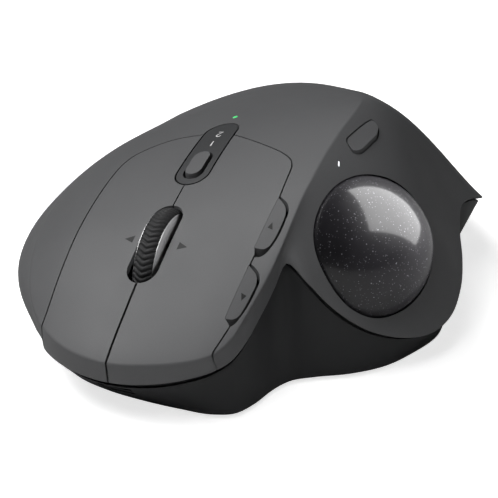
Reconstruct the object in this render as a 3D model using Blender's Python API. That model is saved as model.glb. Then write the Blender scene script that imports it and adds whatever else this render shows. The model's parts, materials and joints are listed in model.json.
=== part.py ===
"""A thumb-operated trackball mouse: shell, keys, wheel, ball and its cup, electronics, casing and
magnetic tilt plate. Lengths below are in millimetres and MM turns them into Blender's metres.
X points to the thumb side, Y from the keys to the palm, Z up. The origin is on the desk, under the
split between the two keys, level with the ball's centre."""

import math

import bmesh
import bpy
from mathutils import Matrix, Vector

MM = 0.001
GAP = 0.35  # between neighbouring visible pieces
FIT = 0.3  # between inner pieces
PRESS_GAP = 0.7  # over each micro switch, more than its key travels

# The shell is drawn in upright planes that turn about HUB: deck, then ridge, then flank to the seam.
HUB = (5.0, 10.0)
WALL = 1.8
RIB_STEP = 7.5
FINE_RIB_STEP = 3.75
FINE_FROM, FINE_TO = 285.0, 335.0
DECK_POINTS = 5
FLANK_POINTS = 6

# y, height over x = 0, cross slope, cross bend
DECK = [
    (-54, 14.6, 0.10, 0.0110), (-49, 18.5, 0.11, 0.0108), (-42, 22.9, 0.11, 0.0095),
    (-35, 27.0, 0.10, 0.0070), (-27, 31.0, 0.108, 0.0056), (-13, 36.4, 0.19, 0.0030),
    (3, 40.3, 0.27, 0.0018), (20, 41.6, 0.34, 0.0018), (35, 40.3, 0.36, 0.0045),
    (50, 36.0, 0.30, 0.0065), (65, 28.0, 0.22, 0.0080), (80, 15.0, 0.1, 0.009),
]
SHOULDER_X = -18.0
SHOULDER = 0.0145
# where the deck folds over, seen from above
RIDGE = [
    (0, -52.3), (10, -50.9), (17, -48.2), (21.6, -45), (24.6, -40.5), (26, -35.6), (27.2, -29.5),
    (28.3, -21.7), (28.9, -12), (29.6, -2.1), (30.6, 9), (31.4, 18.5), (30, 25.5), (25, 31),
    (17.5, 36), (8, 40), (-6, 41), (-18, 36), (-27.5, 25), (-33, 10), (-34.5, -4), (-33, -17),
    (-29.5, -29), (-25, -37.5), (-20, -43.3), (-10, -50),
]
# the shell's lower edge: x, y, height
SEAM = [
    (0, -51.4, 10.4), (10, -49.9, 11.4), (17, -47.2, 12.8), (21.8, -43.6, 13.9), (24.6, -39.6, 15.2),
    (25.8, -36.6, 17), (27, -30, 20.8), (28, -23.6, 25.2), (29.6, -20.6, 30.2), (34.7, -21.3, 26.8),
    (39.6, -20, 21.3), (45, -16.3, 15.3), (50, -11.3, 10.9), (54.4, -6.9, 8.8), (58.2, -1.2, 8),
    (60.2, 6, 9.2), (59.9, 12.7, 11.8), (57.6, 21, 15), (54.6, 28, 19), (53.2, 34, 22), (54.6, 41, 20.6),
    (54.5, 46.7, 17.6), (50, 54, 14.4), (41, 65, 11), (28, 75, 8), (10, 80.2, 6.4), (-9, 76, 6),
    (-23.5, 62, 6), (-32.5, 42, 6.6), (-36, 20, 7), (-37.3, 4, 7.3), (-37.6, -7, 7.3), (-36.3, -16, 7.2),
    (-32.3, -25, 7), (-27, -32.5, 7.2), (-22, -38.9, 8.6), (-19, -43.9, 10), (-10, -49.6, 10.2),
]
# where the casing meets its flat underside
FOOT = [
    (3.6, -41.9), (-5, -41), (-14, -38), (-20.5, -30), (-22.3, -18), (-22.6, 0), (-22.4, 20), (-21.5, 38),
    (-18.5, 52), (-10, 63), (2, 69), (20, 67), (34, 59), (43.5, 50.5), (47, 41), (49.5, 31), (54, 20),
    (56, 8.3), (53, -1.2), (49, -8.8), (42.9, -14.6), (36, -18.9), (31.3, -22.8), (28.9, -28.4),
    (27.4, -34.4), (25.2, -39), (20.6, -41.4), (13, -42),
]
# by direction about HUB, degrees: how far the ridge folds, and how steep the flank is at the seam
FOLD = [
    (253, 60), (270, 64), (284, 60), (292, 62), (302, 58), (308, 50), (314, 42), (322, 37), (340, 37),
    (355, 42), (8, 43), (20, 34), (30, 18), (38, 8), (48, 0), (60, 0), (90, 0), (150, 0), (180, 3),
    (205, 8), (225, 22), (243, 50),
]
STEEP = [
    (253, 95), (270, 96), (284, 95), (298, 93), (305, 88), (311, 66), (322, 63), (340, 62), (0, 64),
    (15, 60), (30, 50), (40, 44), (55, 48), (72, 60), (90, 76), (150, 90), (180, 106), (205, 122),
    (222, 118), (236, 106), (243, 97),
]
PULL = [
    (253, 0.45), (314, 0.42), (340, 0.43), (0, 0.43), (22, 0.34), (38, 0.26), (60, 0.28), (90, 0.40),
    (150, 0.48), (172, 0.56), (190, 0.62), (205, 0.60), (222, 0.55), (243, 0.45),
]
# the step in and down from the shell's edge to the casing's: direction, in, down
LAP = [
    (0, 1.6, 0.9), (40, 1.2, 0.6), (90, 0.6, 0.5), (200, 0.6, 0.5), (240, 1.0, 0.9), (256, 1.3, 1.3),
    (285, 1.3, 1.5), (296, 1.0, 0.8), (315, 1.4, 0.9), (340, 1.6, 0.9),
]
CASING_Z = 0.8
RECESS_Z = 3.4
FLOOR_Z = 5.2

# Keys, seen from above
SPLIT = 0.17
RIGHT_SEAM = [
    (-3.7, 11.6), (-10.8, 10.9), (-17.8, 5.9), (-19.6, 3), (-20.4, -3.1), (-20.5, -19.3), (-20, -26.8),
    (-19.5, -38), (-19.3, -60),
]
LEFT_SEAM = [
    (21.7, -60), (21.7, -44), (22.2, -42), (23.3, -38.4), (21.9, -37.6), (22.8, -25.9), (23.1, -23.4),
    (22.6, -22.2), (23.7, -10.6), (23.3, -1.9), (20.5, 1.3), (9.6, 7.2), (5.2, 9.6), (3.8, 10.6),
]
FORWARD_TAB = [
    (22.6, -22.2), (25, -21.4), (26, -19.8), (26.5, -14.6), (26.5, -12.7), (25.3, -11.4), (23.7, -10.6),
]
BACK_TAB = [
    (21.9, -37.6), (24, -36.2), (24.7, -34.6), (25.5, -27.8), (24.6, -26.5), (22.8, -25.9),
]
PRECISION = [
    (34.9, 7.2), (35.9, 8.2), (37.5, 15.1), (37.0, 17.4), (35.2, 18.4), (32.6, 8.6),
]
TAB_GAP = 0.7
PILL_X, PILL_FRONT, PILL_REAR, PILL_R = 0.4, -8.1, 16.0, 3.9
OVAL_FRONT, OVAL_REAR, OVAL_R = -6.1, 3.4, 2.3
SLOT_FRONT, SLOT_REAR, SLOT_R = -35.3, -12.3, 3.7
GREEN_LIGHT = (0.9, 19.7)
WHITE_LIGHT = (33.0, 2.3)
LIGHT_R = 0.8
KEY_HINGE = (0.0, 9.0, 37.5)
KEY_POST_Y = -36.0
KEY_POST_X = 10.0
POST_R = 1.5

# Ball and the cup that carries it
BALL = Vector((39.0, 0.0, 25.0))
BALL_R = 17.0
BALL_OUT = Vector((0.793, -0.363, 0.482)).normalized()
CUP_R, CUP_WALL, CUP_EDGE = 17.5, 1.5, 3.0
BEARING_R, BEARING_LEAN, BEARING_TURN = 1.2, 52.0, 75.0
BEARING_REACH = BALL_R + 0.25 + BEARING_R
EJECT_R = 4.0

# Wheel, its press carrier and its tilt cradle
WHEEL = Vector((0.0, -21.1, 24.2))
WHEEL_R, TYRE_WIDTH, HUB_WIDTH, TREADS = 12.5, 4.4, 5.2, 20
HUB_R, FLANGE_R, FLANGE = 10.7, 11.5, 0.3
AXLE_R = 1.0
CARRIER_X = (3.3, 4.2)
CRADLE_X = (4.6, 5.8)
TILT_Z = 17.6
TILT_PIN_R = 0.8

# Boards
MAIN_Z = (8.3, 9.9)
ON_MAIN = MAIN_Z[1] + FIT
SIDE_BOARD_Z = (19.0, 20.2)
UPPER_BOARD_Z = (32.0, 33.2)

# Tilt plate
PLATE_Z = (0.9, 2.4)
PAD_Z = (0.0, 0.6)
PLATE_X, PLATE_INSET = -17.0, 1.2
HINGE_X, HINGE_Z = -18.6, 1.7
HINGE_PIN_R = 0.6
BARREL_R = 1.3
HINGE_SPANS = [(-18.0, -8.0), (24.0, 34.0)]
LUG_LENGTH = 3.6
SWITCH_AT = (8.0, -26.0)
SWITCH_TRAVEL = 2.5
SCREWS = [(-12, 20), (31, 27), (-12, 48), (33, 50)]
MAGNETS = [(19, -31), (37, 42)]


# ---------------------------------------------------------------- curves

def through(knots, x):
    """Smooth values at x through knots (x, value, value ...) in rising x."""
    i = 0
    while i < len(knots) - 2 and x > knots[i + 1][0]:
        i += 1

    def rise(a):
        span = knots[a + 1][0] - knots[a][0]
        return span, [(q - p) / span for p, q in zip(knots[a][1:], knots[a + 1][1:])]

    def slope(a):
        if a == 0:
            return rise(0)[1]
        if a == len(knots) - 1:
            return rise(a - 1)[1]
        before, after = rise(a - 1), rise(a)
        return [
            (p * after[0] + q * before[0]) / (before[0] + after[0])
            for p, q in zip(before[1], after[1])
        ]

    span = knots[i + 1][0] - knots[i][0]
    t = min(1.0, max(0.0, (x - knots[i][0]) / span))
    starts, ends = slope(i), slope(i + 1)
    return [
        (2 * t**3 - 3 * t**2 + 1) * p
        + (t**3 - 2 * t**2 + t) * span * a
        + (3 * t**2 - 2 * t**3) * q
        + (t**3 - t**2) * span * b
        for p, q, a, b in zip(knots[i][1:], knots[i + 1][1:], starts, ends)
    ]


def around(knots, angle):
    """The same, through knots (angle, value ...) that close on themselves."""
    ring = sorted(knots)
    before = [(k[0] - 360, *k[1:]) for k in ring[-3:]]
    after = [(k[0] + 360, *k[1:]) for k in ring[:3]]
    return through(before + ring + after, angle % 360)


def turned(points):
    """Points (x, y, ...) as knots (direction about HUB, distance, ...)."""
    return [
        (
            math.degrees(math.atan2(p[1] - HUB[1], p[0] - HUB[0])) % 360,
            math.hypot(p[0] - HUB[0], p[1] - HUB[1]),
            *p[2:],
        )
        for p in points
    ]


def plan(angle, distance):
    return (
        HUB[0] + distance * math.cos(math.radians(angle)),
        HUB[1] + distance * math.sin(math.radians(angle)),
    )


def deck_z(x, y):
    height, lean, bend = through(DECK, y)
    return height + lean * x - bend * x * x - SHOULDER * min(0.0, x - SHOULDER_X) ** 2


RIDGE_KNOTS, SEAM_KNOTS, FOOT_KNOTS = turned(RIDGE), turned(SEAM), turned(FOOT)


def shell_profile(angle, depth=0.0):
    """The shell in one upright plane, depth under its outside, as (distance, height) from HUB to the seam."""
    ridge = around(RIDGE_KNOTS, angle)[0]
    seam, seam_z = around(SEAM_KNOTS, angle)
    points = []
    for i in range(DECK_POINTS + 1):
        distance = ridge * i / DECK_POINTS
        height = deck_z(*plan(angle, distance))
        fall = math.atan2(deck_z(*plan(angle, distance - 0.5)) - height, 0.5)
        if i == 0:
            points.append((0.0, height - depth))
            continue
        points.append((distance - depth * math.sin(fall), height - depth * math.cos(fall)))
    start = fall + math.radians(around(FOLD, angle)[0])
    end = math.radians(around(STEEP, angle)[0])
    # at the fold both walls keep their thickness
    middle, spread = (fall + start) / 2, depth / math.cos((start - fall) / 2)
    points[-1] = (ridge - spread * math.sin(middle), height - spread * math.cos(middle))
    seam -= depth / max(0.6, math.sin(end))
    reach = math.hypot(seam - points[-1][0], seam_z - points[-1][1]) * around(PULL, angle)[0]
    corners = [
        points[-1],
        (points[-1][0] + reach * math.cos(start), points[-1][1] - reach * math.sin(start)),
        (seam - reach * math.cos(end), seam_z + reach * math.sin(end)),
        (seam, seam_z),
    ]
    for i in range(1, FLANK_POINTS + 1):
        t = i / FLANK_POINTS
        shares = [(1 - t) ** 3, 3 * (1 - t) ** 2 * t, 3 * (1 - t) * t**2, t**3]
        points.append(tuple(sum(s * c[k] for s, c in zip(shares, corners)) for k in (0, 1)))
    return points


def casing_profile(angle, inset=0.0):
    """The casing's wall as (distance, height), from its underside to its top edge."""
    seam, seam_z = around(SEAM_KNOTS, angle)
    foot = around(FOOT_KNOTS, angle)[0]
    step_in, step_down = around(LAP, angle)
    top = (seam - step_in, seam_z - step_down)
    rise = top[1] - CASING_Z
    thick = inset * math.hypot(rise, top[0] - foot) / rise
    return [(foot - thick, CASING_Z), (top[0] - thick, top[1])]


def rib_angles():
    angles = []
    angle = 0.0
    while angle < 360.0:
        angles.append(angle)
        fine = FINE_FROM <= angle < FINE_TO
        angle += FINE_RIB_STEP if fine else RIB_STEP
    return angles


# ---------------------------------------------------------------- meshes

def from_sections(section):
    """A closed mesh from a half section per rib. Each section starts and ends on the axis at HUB."""
    mesh = bmesh.new()
    angles = rib_angles()
    rows = []
    poles = None
    for angle in angles:
        points = section(angle)
        if poles is None:
            poles = [mesh.verts.new((HUB[0] * MM, HUB[1] * MM, p[1] * MM)) for p in (points[0], points[-1])]
        row = [poles[0]]
        for distance, height in points[1:-1]:
            x, y = plan(angle, distance)
            row.append(mesh.verts.new((x * MM, y * MM, height * MM)))
        rows.append(row + [poles[1]])
    for row, other in zip(rows, rows[1:] + rows[:1]):
        for i in range(len(row) - 1):
            corners = [row[i], row[i + 1], other[i + 1], other[i]]
            mesh.faces.new(list(dict.fromkeys(corners)))
    bmesh.ops.triangulate(mesh, faces=mesh.faces[:])
    bmesh.ops.recalc_face_normals(mesh, faces=mesh.faces[:])
    return mesh


def shell_section(angle):
    return shell_profile(angle) + shell_profile(angle, WALL)[::-1]


def casing_section(angle):
    outside = casing_profile(angle)
    inside = casing_profile(angle, WALL)
    rise = (FLOOR_Z - inside[0][1]) / (inside[1][1] - inside[0][1])
    inner_foot = inside[0][0] + (inside[1][0] - inside[0][0]) * min(0.9, rise)
    foot = (outside[0][0], CASING_Z)
    return [(0, CASING_Z), foot, outside[1], inside[1], (inner_foot, FLOOR_Z), (0, FLOOR_Z)]


def inner_section(angle, depth, floor):
    """The space inside the shell and the casing, at least depth from their outsides."""
    inside = casing_profile(angle, depth)
    upper = shell_profile(angle, depth)
    top = (min(inside[1][0], upper[-1][0]), inside[1][1])
    rise = (floor - inside[0][1]) / (top[1] - inside[0][1])
    foot = inside[0][0] + (top[0] - inside[0][0]) * min(0.9, rise)
    return upper[:-1] + [(top[0], upper[-1][1]), top, (foot, floor), (0, floor)]


def room_section(angle):
    return inner_section(angle, WALL + 0.4, FLOOR_Z + FIT)


def core_section(angle):
    return inner_section(angle, WALL / 2, FLOOR_Z + FIT)


def box(x, y, z):
    """A block between x[0] and x[1] and so on."""
    mesh = bmesh.new()
    size = Vector((x[1] - x[0], y[1] - y[0], z[1] - z[0])) * MM
    middle = Vector((x[0] + x[1], y[0] + y[1], z[0] + z[1])) * MM / 2
    bmesh.ops.create_cube(mesh, size=1.0, matrix=Matrix.Translation(middle) @ Matrix.Diagonal((*size, 1)))
    return mesh


def rod(start, end, radius, sides=16, end_radius=None):
    """A round bar or cone between two points."""
    mesh = bmesh.new()
    start, end = Vector(start) * MM, Vector(end) * MM
    turn = (end - start).to_track_quat("Z", "Y").to_matrix().to_4x4()
    bmesh.ops.create_cone(
        mesh,
        cap_ends=True,
        segments=sides,
        radius1=radius * MM,
        radius2=(radius if end_radius is None else end_radius) * MM,
        depth=(end - start).length,
        matrix=Matrix.Translation((start + end) / 2) @ turn,
    )
    return mesh


def ball_mesh(centre, radius, around_count, up_count):
    mesh = bmesh.new()
    place = Matrix.Translation(Vector(centre) * MM)
    bmesh.ops.create_uvsphere(
        mesh, u_segments=around_count, v_segments=up_count, radius=radius * MM, matrix=place
    )
    return mesh


def prism(outline, low, high):
    """An outline seen from above, raised from low to high."""
    mesh = bmesh.new()
    face = mesh.faces.new([mesh.verts.new((x * MM, y * MM, low * MM)) for x, y in outline])
    raised = bmesh.ops.extrude_face_region(mesh, geom=[face])
    verts = [item for item in raised["geom"] if isinstance(item, bmesh.types.BMVert)]
    bmesh.ops.translate(mesh, vec=(0, 0, (high - low) * MM), verts=verts)
    bmesh.ops.recalc_face_normals(mesh, faces=mesh.faces[:])
    return mesh


def turned_ring(profile, centre, axis, steps):
    """A closed profile (radius, along) spun about an axis through centre."""
    mesh = bmesh.new()
    place = Matrix.Translation(Vector(centre) * MM) @ Vector(axis).to_track_quat("Z", "Y").to_matrix().to_4x4()
    verts = [mesh.verts.new(place @ Vector((r * MM, 0, h * MM))) for r, h in profile]
    edges = [mesh.edges.new(pair) for pair in zip(verts, verts[1:] + verts[:1])]
    bmesh.ops.spin(
        mesh,
        geom=verts + edges,
        cent=place.translation,
        axis=place.to_3x3() @ Vector((0, 0, 1)),
        angle=math.tau,
        steps=steps,
        use_merge=True,
    )
    bmesh.ops.recalc_face_normals(mesh, faces=mesh.faces[:])
    return mesh


def arc(centre, radius, start, end, count):
    return [
        (
            centre[0] + radius * math.cos(math.radians(start + (end - start) * i / count)),
            centre[1] + radius * math.sin(math.radians(start + (end - start) * i / count)),
        )
        for i in range(count + 1)
    ]


def stadium(x, front, rear, radius, count=10):
    """A slot with round ends along Y, anticlockwise."""
    return arc((x, rear - radius), radius, 0, 180, count) + arc((x, front + radius), radius, 180, 360, count)


def grown(outline, by):
    """An anticlockwise outline moved outwards by a distance."""
    moved = []
    for before, here, after in zip(outline[-1:] + outline[:-1], outline, outline[1:] + outline[:1]):
        run_in = (Vector(here) - Vector(before)).normalized()
        run_out = (Vector(after) - Vector(here)).normalized()
        bisector = Vector((run_in.y + run_out.y, -run_in.x - run_out.x)).normalized()
        reach = by / max(0.5, bisector.dot(Vector((run_in.y, -run_in.x))))
        moved.append((here[0] + bisector.x * reach, here[1] + bisector.y * reach))
    return moved


# ---------------------------------------------------------------- objects

def clear_scene():
    for item in list(bpy.data.objects):
        bpy.data.objects.remove(item, do_unlink=True)


def finish(name, colour, roughness=0.5, metallic=0.0):
    material = bpy.data.materials.get(name)
    if material is None:
        material = bpy.data.materials.new(name)
        material.use_nodes = True
        shader = material.node_tree.nodes["Principled BSDF"]
        shader.inputs["Base Color"].default_value = (*colour, 1)
        shader.inputs["Roughness"].default_value = roughness
        shader.inputs["Metallic"].default_value = metallic
    return material


def shell_plastic():
    return finish("dark_grey_plastic", (0.11, 0.11, 0.115), 0.55)


def key_plastic():
    return finish("key_plastic", (0.12, 0.12, 0.125), 0.5)


def black_plastic():
    return finish("black_plastic", (0.02, 0.02, 0.022), 0.5)


def frame_plastic():
    return finish("frame_plastic", (0.25, 0.25, 0.26), 0.6)


def steel():
    return finish("steel", (0.6, 0.6, 0.6), 0.35, 1.0)


def board_green():
    return finish("circuit_board", (0.02, 0.12, 0.06), 0.5)


def pivot_at(name, place):
    empty = bpy.data.objects.new(name, None)
    bpy.context.scene.collection.objects.link(empty)
    empty.location = Vector(place) * MM
    return empty


def piece(name, mesh, material, pivot=None, smooth=35.0):
    """One sub-part, drawn in world coordinates and carried by its pivot, if it has one."""
    data = bpy.data.meshes.new(name)
    mesh.to_mesh(data)
    mesh.free()
    data.materials.append(material)
    data.shade_smooth()
    data.set_sharp_from_angle(angle=math.radians(smooth))
    made = bpy.data.objects.new(name, data)
    bpy.context.scene.collection.objects.link(made)
    if pivot is not None:
        made.parent = pivot
        made.location = -pivot.location
    return made


def helper(name, mesh):
    """A hidden solid that only shapes other pieces."""
    made = piece(name, mesh, black_plastic())
    made.hide_render = True
    made.display_type = "WIRE"
    return made


def shape(made, other, operation):
    """Cut, keep or join another solid."""
    if isinstance(other, bmesh.types.BMesh):
        other = helper(made.name + "_" + operation.lower(), other)
    modifier = made.modifiers.new(operation.title(), "BOOLEAN")
    modifier.operation = operation
    modifier.solver = "EXACT"
    modifier.object = other
    return made


def cut(made, *others):
    for other in others:
        shape(made, other, "DIFFERENCE")
    return made


def keep(made, other):
    return shape(made, other, "INTERSECT")


def join(made, *others):
    for other in others:
        shape(made, other, "UNION")
    return made


def tall(outline):
    """An outline as a cutter through the whole shell."""
    return prism(outline, -5, 60)


# ---------------------------------------------------------------- shell and keys

RIGHT_KEY = [(-SPLIT, -60), (-SPLIT, 11.6)] + RIGHT_SEAM
LEFT_KEY = [(SPLIT, -60)] + LEFT_SEAM + [(SPLIT, 10.6)]
PILL = stadium(PILL_X, PILL_FRONT, PILL_REAR, PILL_R)
OVAL = stadium(PILL_X, OVAL_FRONT, OVAL_REAR, OVAL_R, 8)
SLOT = stadium(0.0, SLOT_FRONT, SLOT_REAR, SLOT_R, 8)


def skin_piece(name, outline, material, pivot=None):
    """The part of the shell's skin inside an outline."""
    made = piece(name, from_sections(shell_section), material, pivot)
    return keep(made, tall(outline))


def post(core, x, y, low, radius=POST_R):
    """A post from low up into the skin's thickness."""
    made = helper("post", rod((x, y, low), (x, y, 60), radius, 12))
    return keep(made, core)


def round_cut(x, y, radius, low=-5.0, high=60.0, sides=16):
    return rod((x, y, low), (x, y, high), radius, sides)


def palm_shell(core):
    made = piece("palm_shell", from_sections(shell_section), shell_plastic())
    cut(made, tall(grown(RIGHT_KEY, GAP)), tall(grown(LEFT_KEY, GAP)))
    cut(made, tall(grown(FORWARD_TAB, TAB_GAP)), tall(grown(BACK_TAB, TAB_GAP)))
    cut(made, tall(grown(PILL, FIT)), tall(grown(PRECISION, FIT)))
    cut(made, ball_mesh(BALL, BALL_R + GAP, 48, 24))
    cut(made, round_cut(*WHITE_LIGHT, LIGHT_R + FIT, 39, sides=10))
    cut(made, round_cut(*GREEN_LIGHT, LIGHT_R + FIT, 30, sides=10))
    for x, y in SCREWS:
        join(made, post(core, x, y, FLOOR_Z + FIT, 2.8))
        cut(made, round_cut(x, y, 1.4, 0, 14, 12))


def keys(core):
    pivot = pivot_at("key_pivot", KEY_HINGE)
    tabs = [tall(grown(FORWARD_TAB, FIT)), tall(grown(BACK_TAB, FIT))]
    for name, outline, side in (("right_button", RIGHT_KEY, -1), ("left_button", LEFT_KEY, 1)):
        made = skin_piece(name, outline, key_plastic(), pivot)
        cut(made, tall(grown(PILL, FIT)), tall(SLOT))
        if side == 1:
            cut(made, *tabs)
        join(made, post(core, side * KEY_POST_X, KEY_POST_Y, ON_MAIN + 6.5 + PRESS_GAP))


def side_buttons(core):
    top = SIDE_BOARD_Z[1] + FIT + 3.5 + PRESS_GAP
    for name, outline, place in (("forward_button", FORWARD_TAB, (24.6, -17)), ("back_button", BACK_TAB, (23.7, -31.5))):
        made = skin_piece(name, outline, key_plastic(), pivot_at(name + "_pivot", (*place, 30)))
        join(made, post(core, *place, top, 0.9))


def button_bezel():
    made = skin_piece("button_bezel", PILL, shell_plastic())
    cut(made, tall(grown(OVAL, FIT)))
    cut(made, round_cut(*GREEN_LIGHT, LIGHT_R + FIT, 30, sides=10))


def device_button(core):
    pivot = pivot_at("device_pivot", (PILL_X, -1.1, 38))
    made = skin_piece("device_button", OVAL, key_plastic(), pivot)
    join(made, post(core, PILL_X, -1.4, UPPER_BOARD_Z[1] + FIT + 2.7 + PRESS_GAP, 1.2))


def precision_button(core):
    pivot = pivot_at("precision_pivot", (36, 11, 48))
    made = skin_piece("precision_button", PRECISION, key_plastic(), pivot)
    join(made, post(core, 34.9, 12.2, 44.2, 0.9))


def lights():
    disc = [(GREEN_LIGHT, "connection_light", (0.1, 0.6, 0.2)), (WHITE_LIGHT, "precision_light", (0.8, 0.8, 0.8))]
    for place, name, colour in disc:
        outline = arc(place, LIGHT_R, 0, 324, 9)
        skin_piece(name, outline, finish(name, colour, 0.2))


# ---------------------------------------------------------------- ball

def trackball():
    pivot = pivot_at("ball_pivot", BALL)
    piece("trackball", ball_mesh(BALL, BALL_R, 28, 16), finish("ball", (0.05, 0.045, 0.06), 0.12), pivot, 180)


def bearing_places():
    """Three seats round the ball, under its centre line."""
    side = BALL_OUT.orthogonal().normalized()
    places = []
    for i in range(3):
        turn = Matrix.Rotation(math.radians(BEARING_TURN + 120 * i), 3, BALL_OUT)
        lean = Matrix.Rotation(math.radians(BEARING_LEAN), 3, turn @ side)
        places.append(BALL + (lean @ -BALL_OUT) * BEARING_REACH)
    return places


def ball_cup(room):
    outer_r = CUP_R + CUP_WALL
    low, high = math.degrees(math.asin(-0.985)), math.degrees(math.asin(CUP_EDGE / outer_r))
    outside = arc((0, 0), outer_r, low, high, 7)
    inside = arc((0, 0), CUP_R, math.degrees(math.asin(CUP_EDGE / CUP_R)), low, 7)
    made = piece("ball_cup", turned_ring(outside + inside, BALL, BALL_OUT, 28), black_plastic())
    for i in range(3):
        angle = math.radians(90 + 120 * i)
        x, y = BALL.x - 2 + 10 * math.cos(angle), BALL.y + 10 * math.sin(angle)
        leg = helper("cup_leg", rod((x, y, FLOOR_Z + FIT), (x, y, BALL.z), 1.8, 10))
        cut(leg, ball_mesh(BALL, CUP_R + 0.7, 24, 14))
        join(made, leg)
    for place in bearing_places():
        cut(made, ball_mesh(place, BEARING_R + FIT, 8, 6))
    cut(made, round_cut(BALL.x, BALL.y, EJECT_R, 0, 10))
    keep(made, room)


def bearing_balls():
    for i, place in enumerate(bearing_places()):
        piece(f"bearing_ball_{i + 1}", ball_mesh(place, BEARING_R, 8, 6), finish("ceramic", (0.8, 0.8, 0.78), 0.2))


def ball_sensor():
    """A chip and its board, square to the line through the ball's centre."""
    turn = (-BALL_OUT).to_track_quat("Z", "Y").to_matrix().to_4x4()
    for name, near, far, half, material in (
        ("ball_sensor", 19.4, 21.6, 4.0, black_plastic()),
        ("sensor_board", 21.9, 23.1, 6.5, board_green()),
    ):
        mesh = box((-half, half), (-half, half), (near, far))
        bmesh.ops.transform(mesh, matrix=Matrix.Translation(BALL * MM) @ turn, verts=mesh.verts[:])
        piece(name, mesh, material)


# ---------------------------------------------------------------- wheel

def gear_outline(teeth, outer, inner):
    """A toothed circle as (across, along) points."""
    points = []
    for i in range(teeth):
        for share, radius in ((0.0, outer), (0.55, outer), (0.65, inner), (0.9, inner)):
            angle = math.tau * (i + share) / teeth
            points.append((radius * math.cos(angle), radius * math.sin(angle)))
    return points


def wheel():
    pivot = pivot_at("wheel_pivot", WHEEL)
    tread = prism(gear_outline(TREADS, WHEEL_R, WHEEL_R - 0.5), -TYRE_WIDTH / 2, TYRE_WIDTH / 2)
    upright = Matrix.Translation(WHEEL * MM) @ Matrix.Rotation(math.pi / 2, 4, "Y")
    bmesh.ops.transform(tread, matrix=upright, verts=tread.verts[:])
    tyre = piece("wheel_tyre", tread, finish("rubber", (0.015, 0.015, 0.015), 0.8), pivot)
    reach = Vector((TYRE_WIDTH, 0, 0))
    cut(tyre, rod(WHEEL - reach, WHEEL + reach, HUB_R + FIT, 40))
    half, lip = HUB_WIDTH / 2, HUB_WIDTH / 2 - FLANGE
    bore = AXLE_R + FIT
    profile = [
        (bore, -half), (FLANGE_R, -half), (FLANGE_R, -lip), (HUB_R, -lip),
        (HUB_R, lip), (FLANGE_R, lip), (FLANGE_R, half), (bore, half),
    ]
    piece("wheel_hub", turned_ring(profile, WHEEL, (1, 0, 0), 40), steel(), pivot)
    end = Vector((CARRIER_X[1], 0, 0))
    piece("wheel_axle", rod(WHEEL - end, WHEEL + end, AXLE_R, 16), steel(), pivot)


def wheel_carrier():
    """The frame that holds the axle and slides down when the wheel is pressed."""
    pivot = pivot_at("carrier_pivot", WHEEL)
    far = CARRIER_X[1]
    made = piece("wheel_carrier", box((-far, far), (-35.5, -7.2), (19.5, 22.8)), frame_plastic(), pivot)
    join(made, box((-far, far), (-24.1, -18.1), (19.8, 26.2)))
    join(made, box((-1.6, 1.6), (-7.8, -1.4), (21.0, 22.6)), rod((0, -2.9, 17.6), (0, -2.9, 22), 1.1, 12))
    cut(made, box((-CARRIER_X[0], CARRIER_X[0]), (-34.1, -8.1), (15, 30)))
    end = Vector((6, 0, 0))
    cut(made, rod(WHEEL - end, WHEEL + end, AXLE_R + FIT, 16))


def wheel_cradle():
    """The trough that tilts to either side on its two end pins."""
    pivot = pivot_at("cradle_pivot", (0, WHEEL.y, TILT_Z))
    inner, outer = CRADLE_X
    made = piece("wheel_cradle", box((-outer, outer), (-34.4, -7.8), (ON_MAIN, 23.0)), frame_plastic(), pivot)
    cut(made, box((-inner, inner), (-33.2, -9.0), (ON_MAIN + 0.7, 30)))
    cut(made, box((-inner, inner), (-40, 0), (18.7, 30)))
    join(made, box((-9.5, 9.5), (-22.5, -19.5), (15.6, 16.6)))
    cut(made, box((-inner, inner), (-33.2, -9.0), (ON_MAIN + 0.7, 30)))
    join(made, rod((0, -37.4, TILT_Z), (0, -33.8, TILT_Z), TILT_PIN_R, 12))
    join(made, rod((0, -8.4, TILT_Z), (0, -5.0, TILT_Z), TILT_PIN_R, 12))


def cradle_brackets():
    for name, y in (("cradle_bracket_front", -36.4), ("cradle_bracket_rear", -6.2)):
        made = piece(name, box((-3.2, 3.2), (y - 0.6, y + 0.6), (ON_MAIN, 20.0)), frame_plastic())
        cut(made, rod((0, y - 3, TILT_Z), (0, y + 3, TILT_Z), TILT_PIN_R + FIT, 12))


def micro_switch(name, x, y, low, size, button=None):
    """A switch body with its small press button on top."""
    half_x, half_y, height = size[0] / 2, size[1] / 2, size[2]
    made = piece(name, box((x - half_x, x + half_x), (y - half_y, y + half_y), (low, low + height)), black_plastic())
    button = button or (x, y)
    join(made, rod((*button, low + height - 0.5), (*button, low + height + 0.5), 0.9, 10))


def switches():
    for name, side in (("right_switch", -1), ("left_switch", 1)):
        micro_switch(name, side * KEY_POST_X, -34.5, ON_MAIN, (5.8, 12.0, 6.0), (side * KEY_POST_X, KEY_POST_Y))
    micro_switch("middle_switch", 0, -2.6, ON_MAIN, (6, 5, 6.2), (0, -2.9))
    for name, side in (("tilt_switch_right", -1), ("tilt_switch_left", 1)):
        micro_switch(name, side * 9.0, WHEEL.y, ON_MAIN, (3.0, 5.0, 4.2), (side * 8.8, WHEEL.y))
    side_low = SIDE_BOARD_Z[1] + FIT
    micro_switch("forward_switch", 22.4, -17.0, side_low, (4.4, 4.4, 3.0), (23.6, -17.0))
    micro_switch("back_switch", 21.6, -31.5, side_low, (4.4, 4.4, 3.0), (23.0, -31.5))
    micro_switch("device_switch", PILL_X, -1.4, UPPER_BOARD_Z[1] + FIT, (5, 5, 2.2))
    micro_switch("precision_switch", 33.9, 12.7, 41.9, (4.2, 4.2, 1.3), (34.6, 12.3))
    piece("wheel_encoder", box((-16, -10.4), (-17, -11), (ON_MAIN, ON_MAIN + 6)), black_plastic())


# ---------------------------------------------------------------- boards, battery, socket

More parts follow.
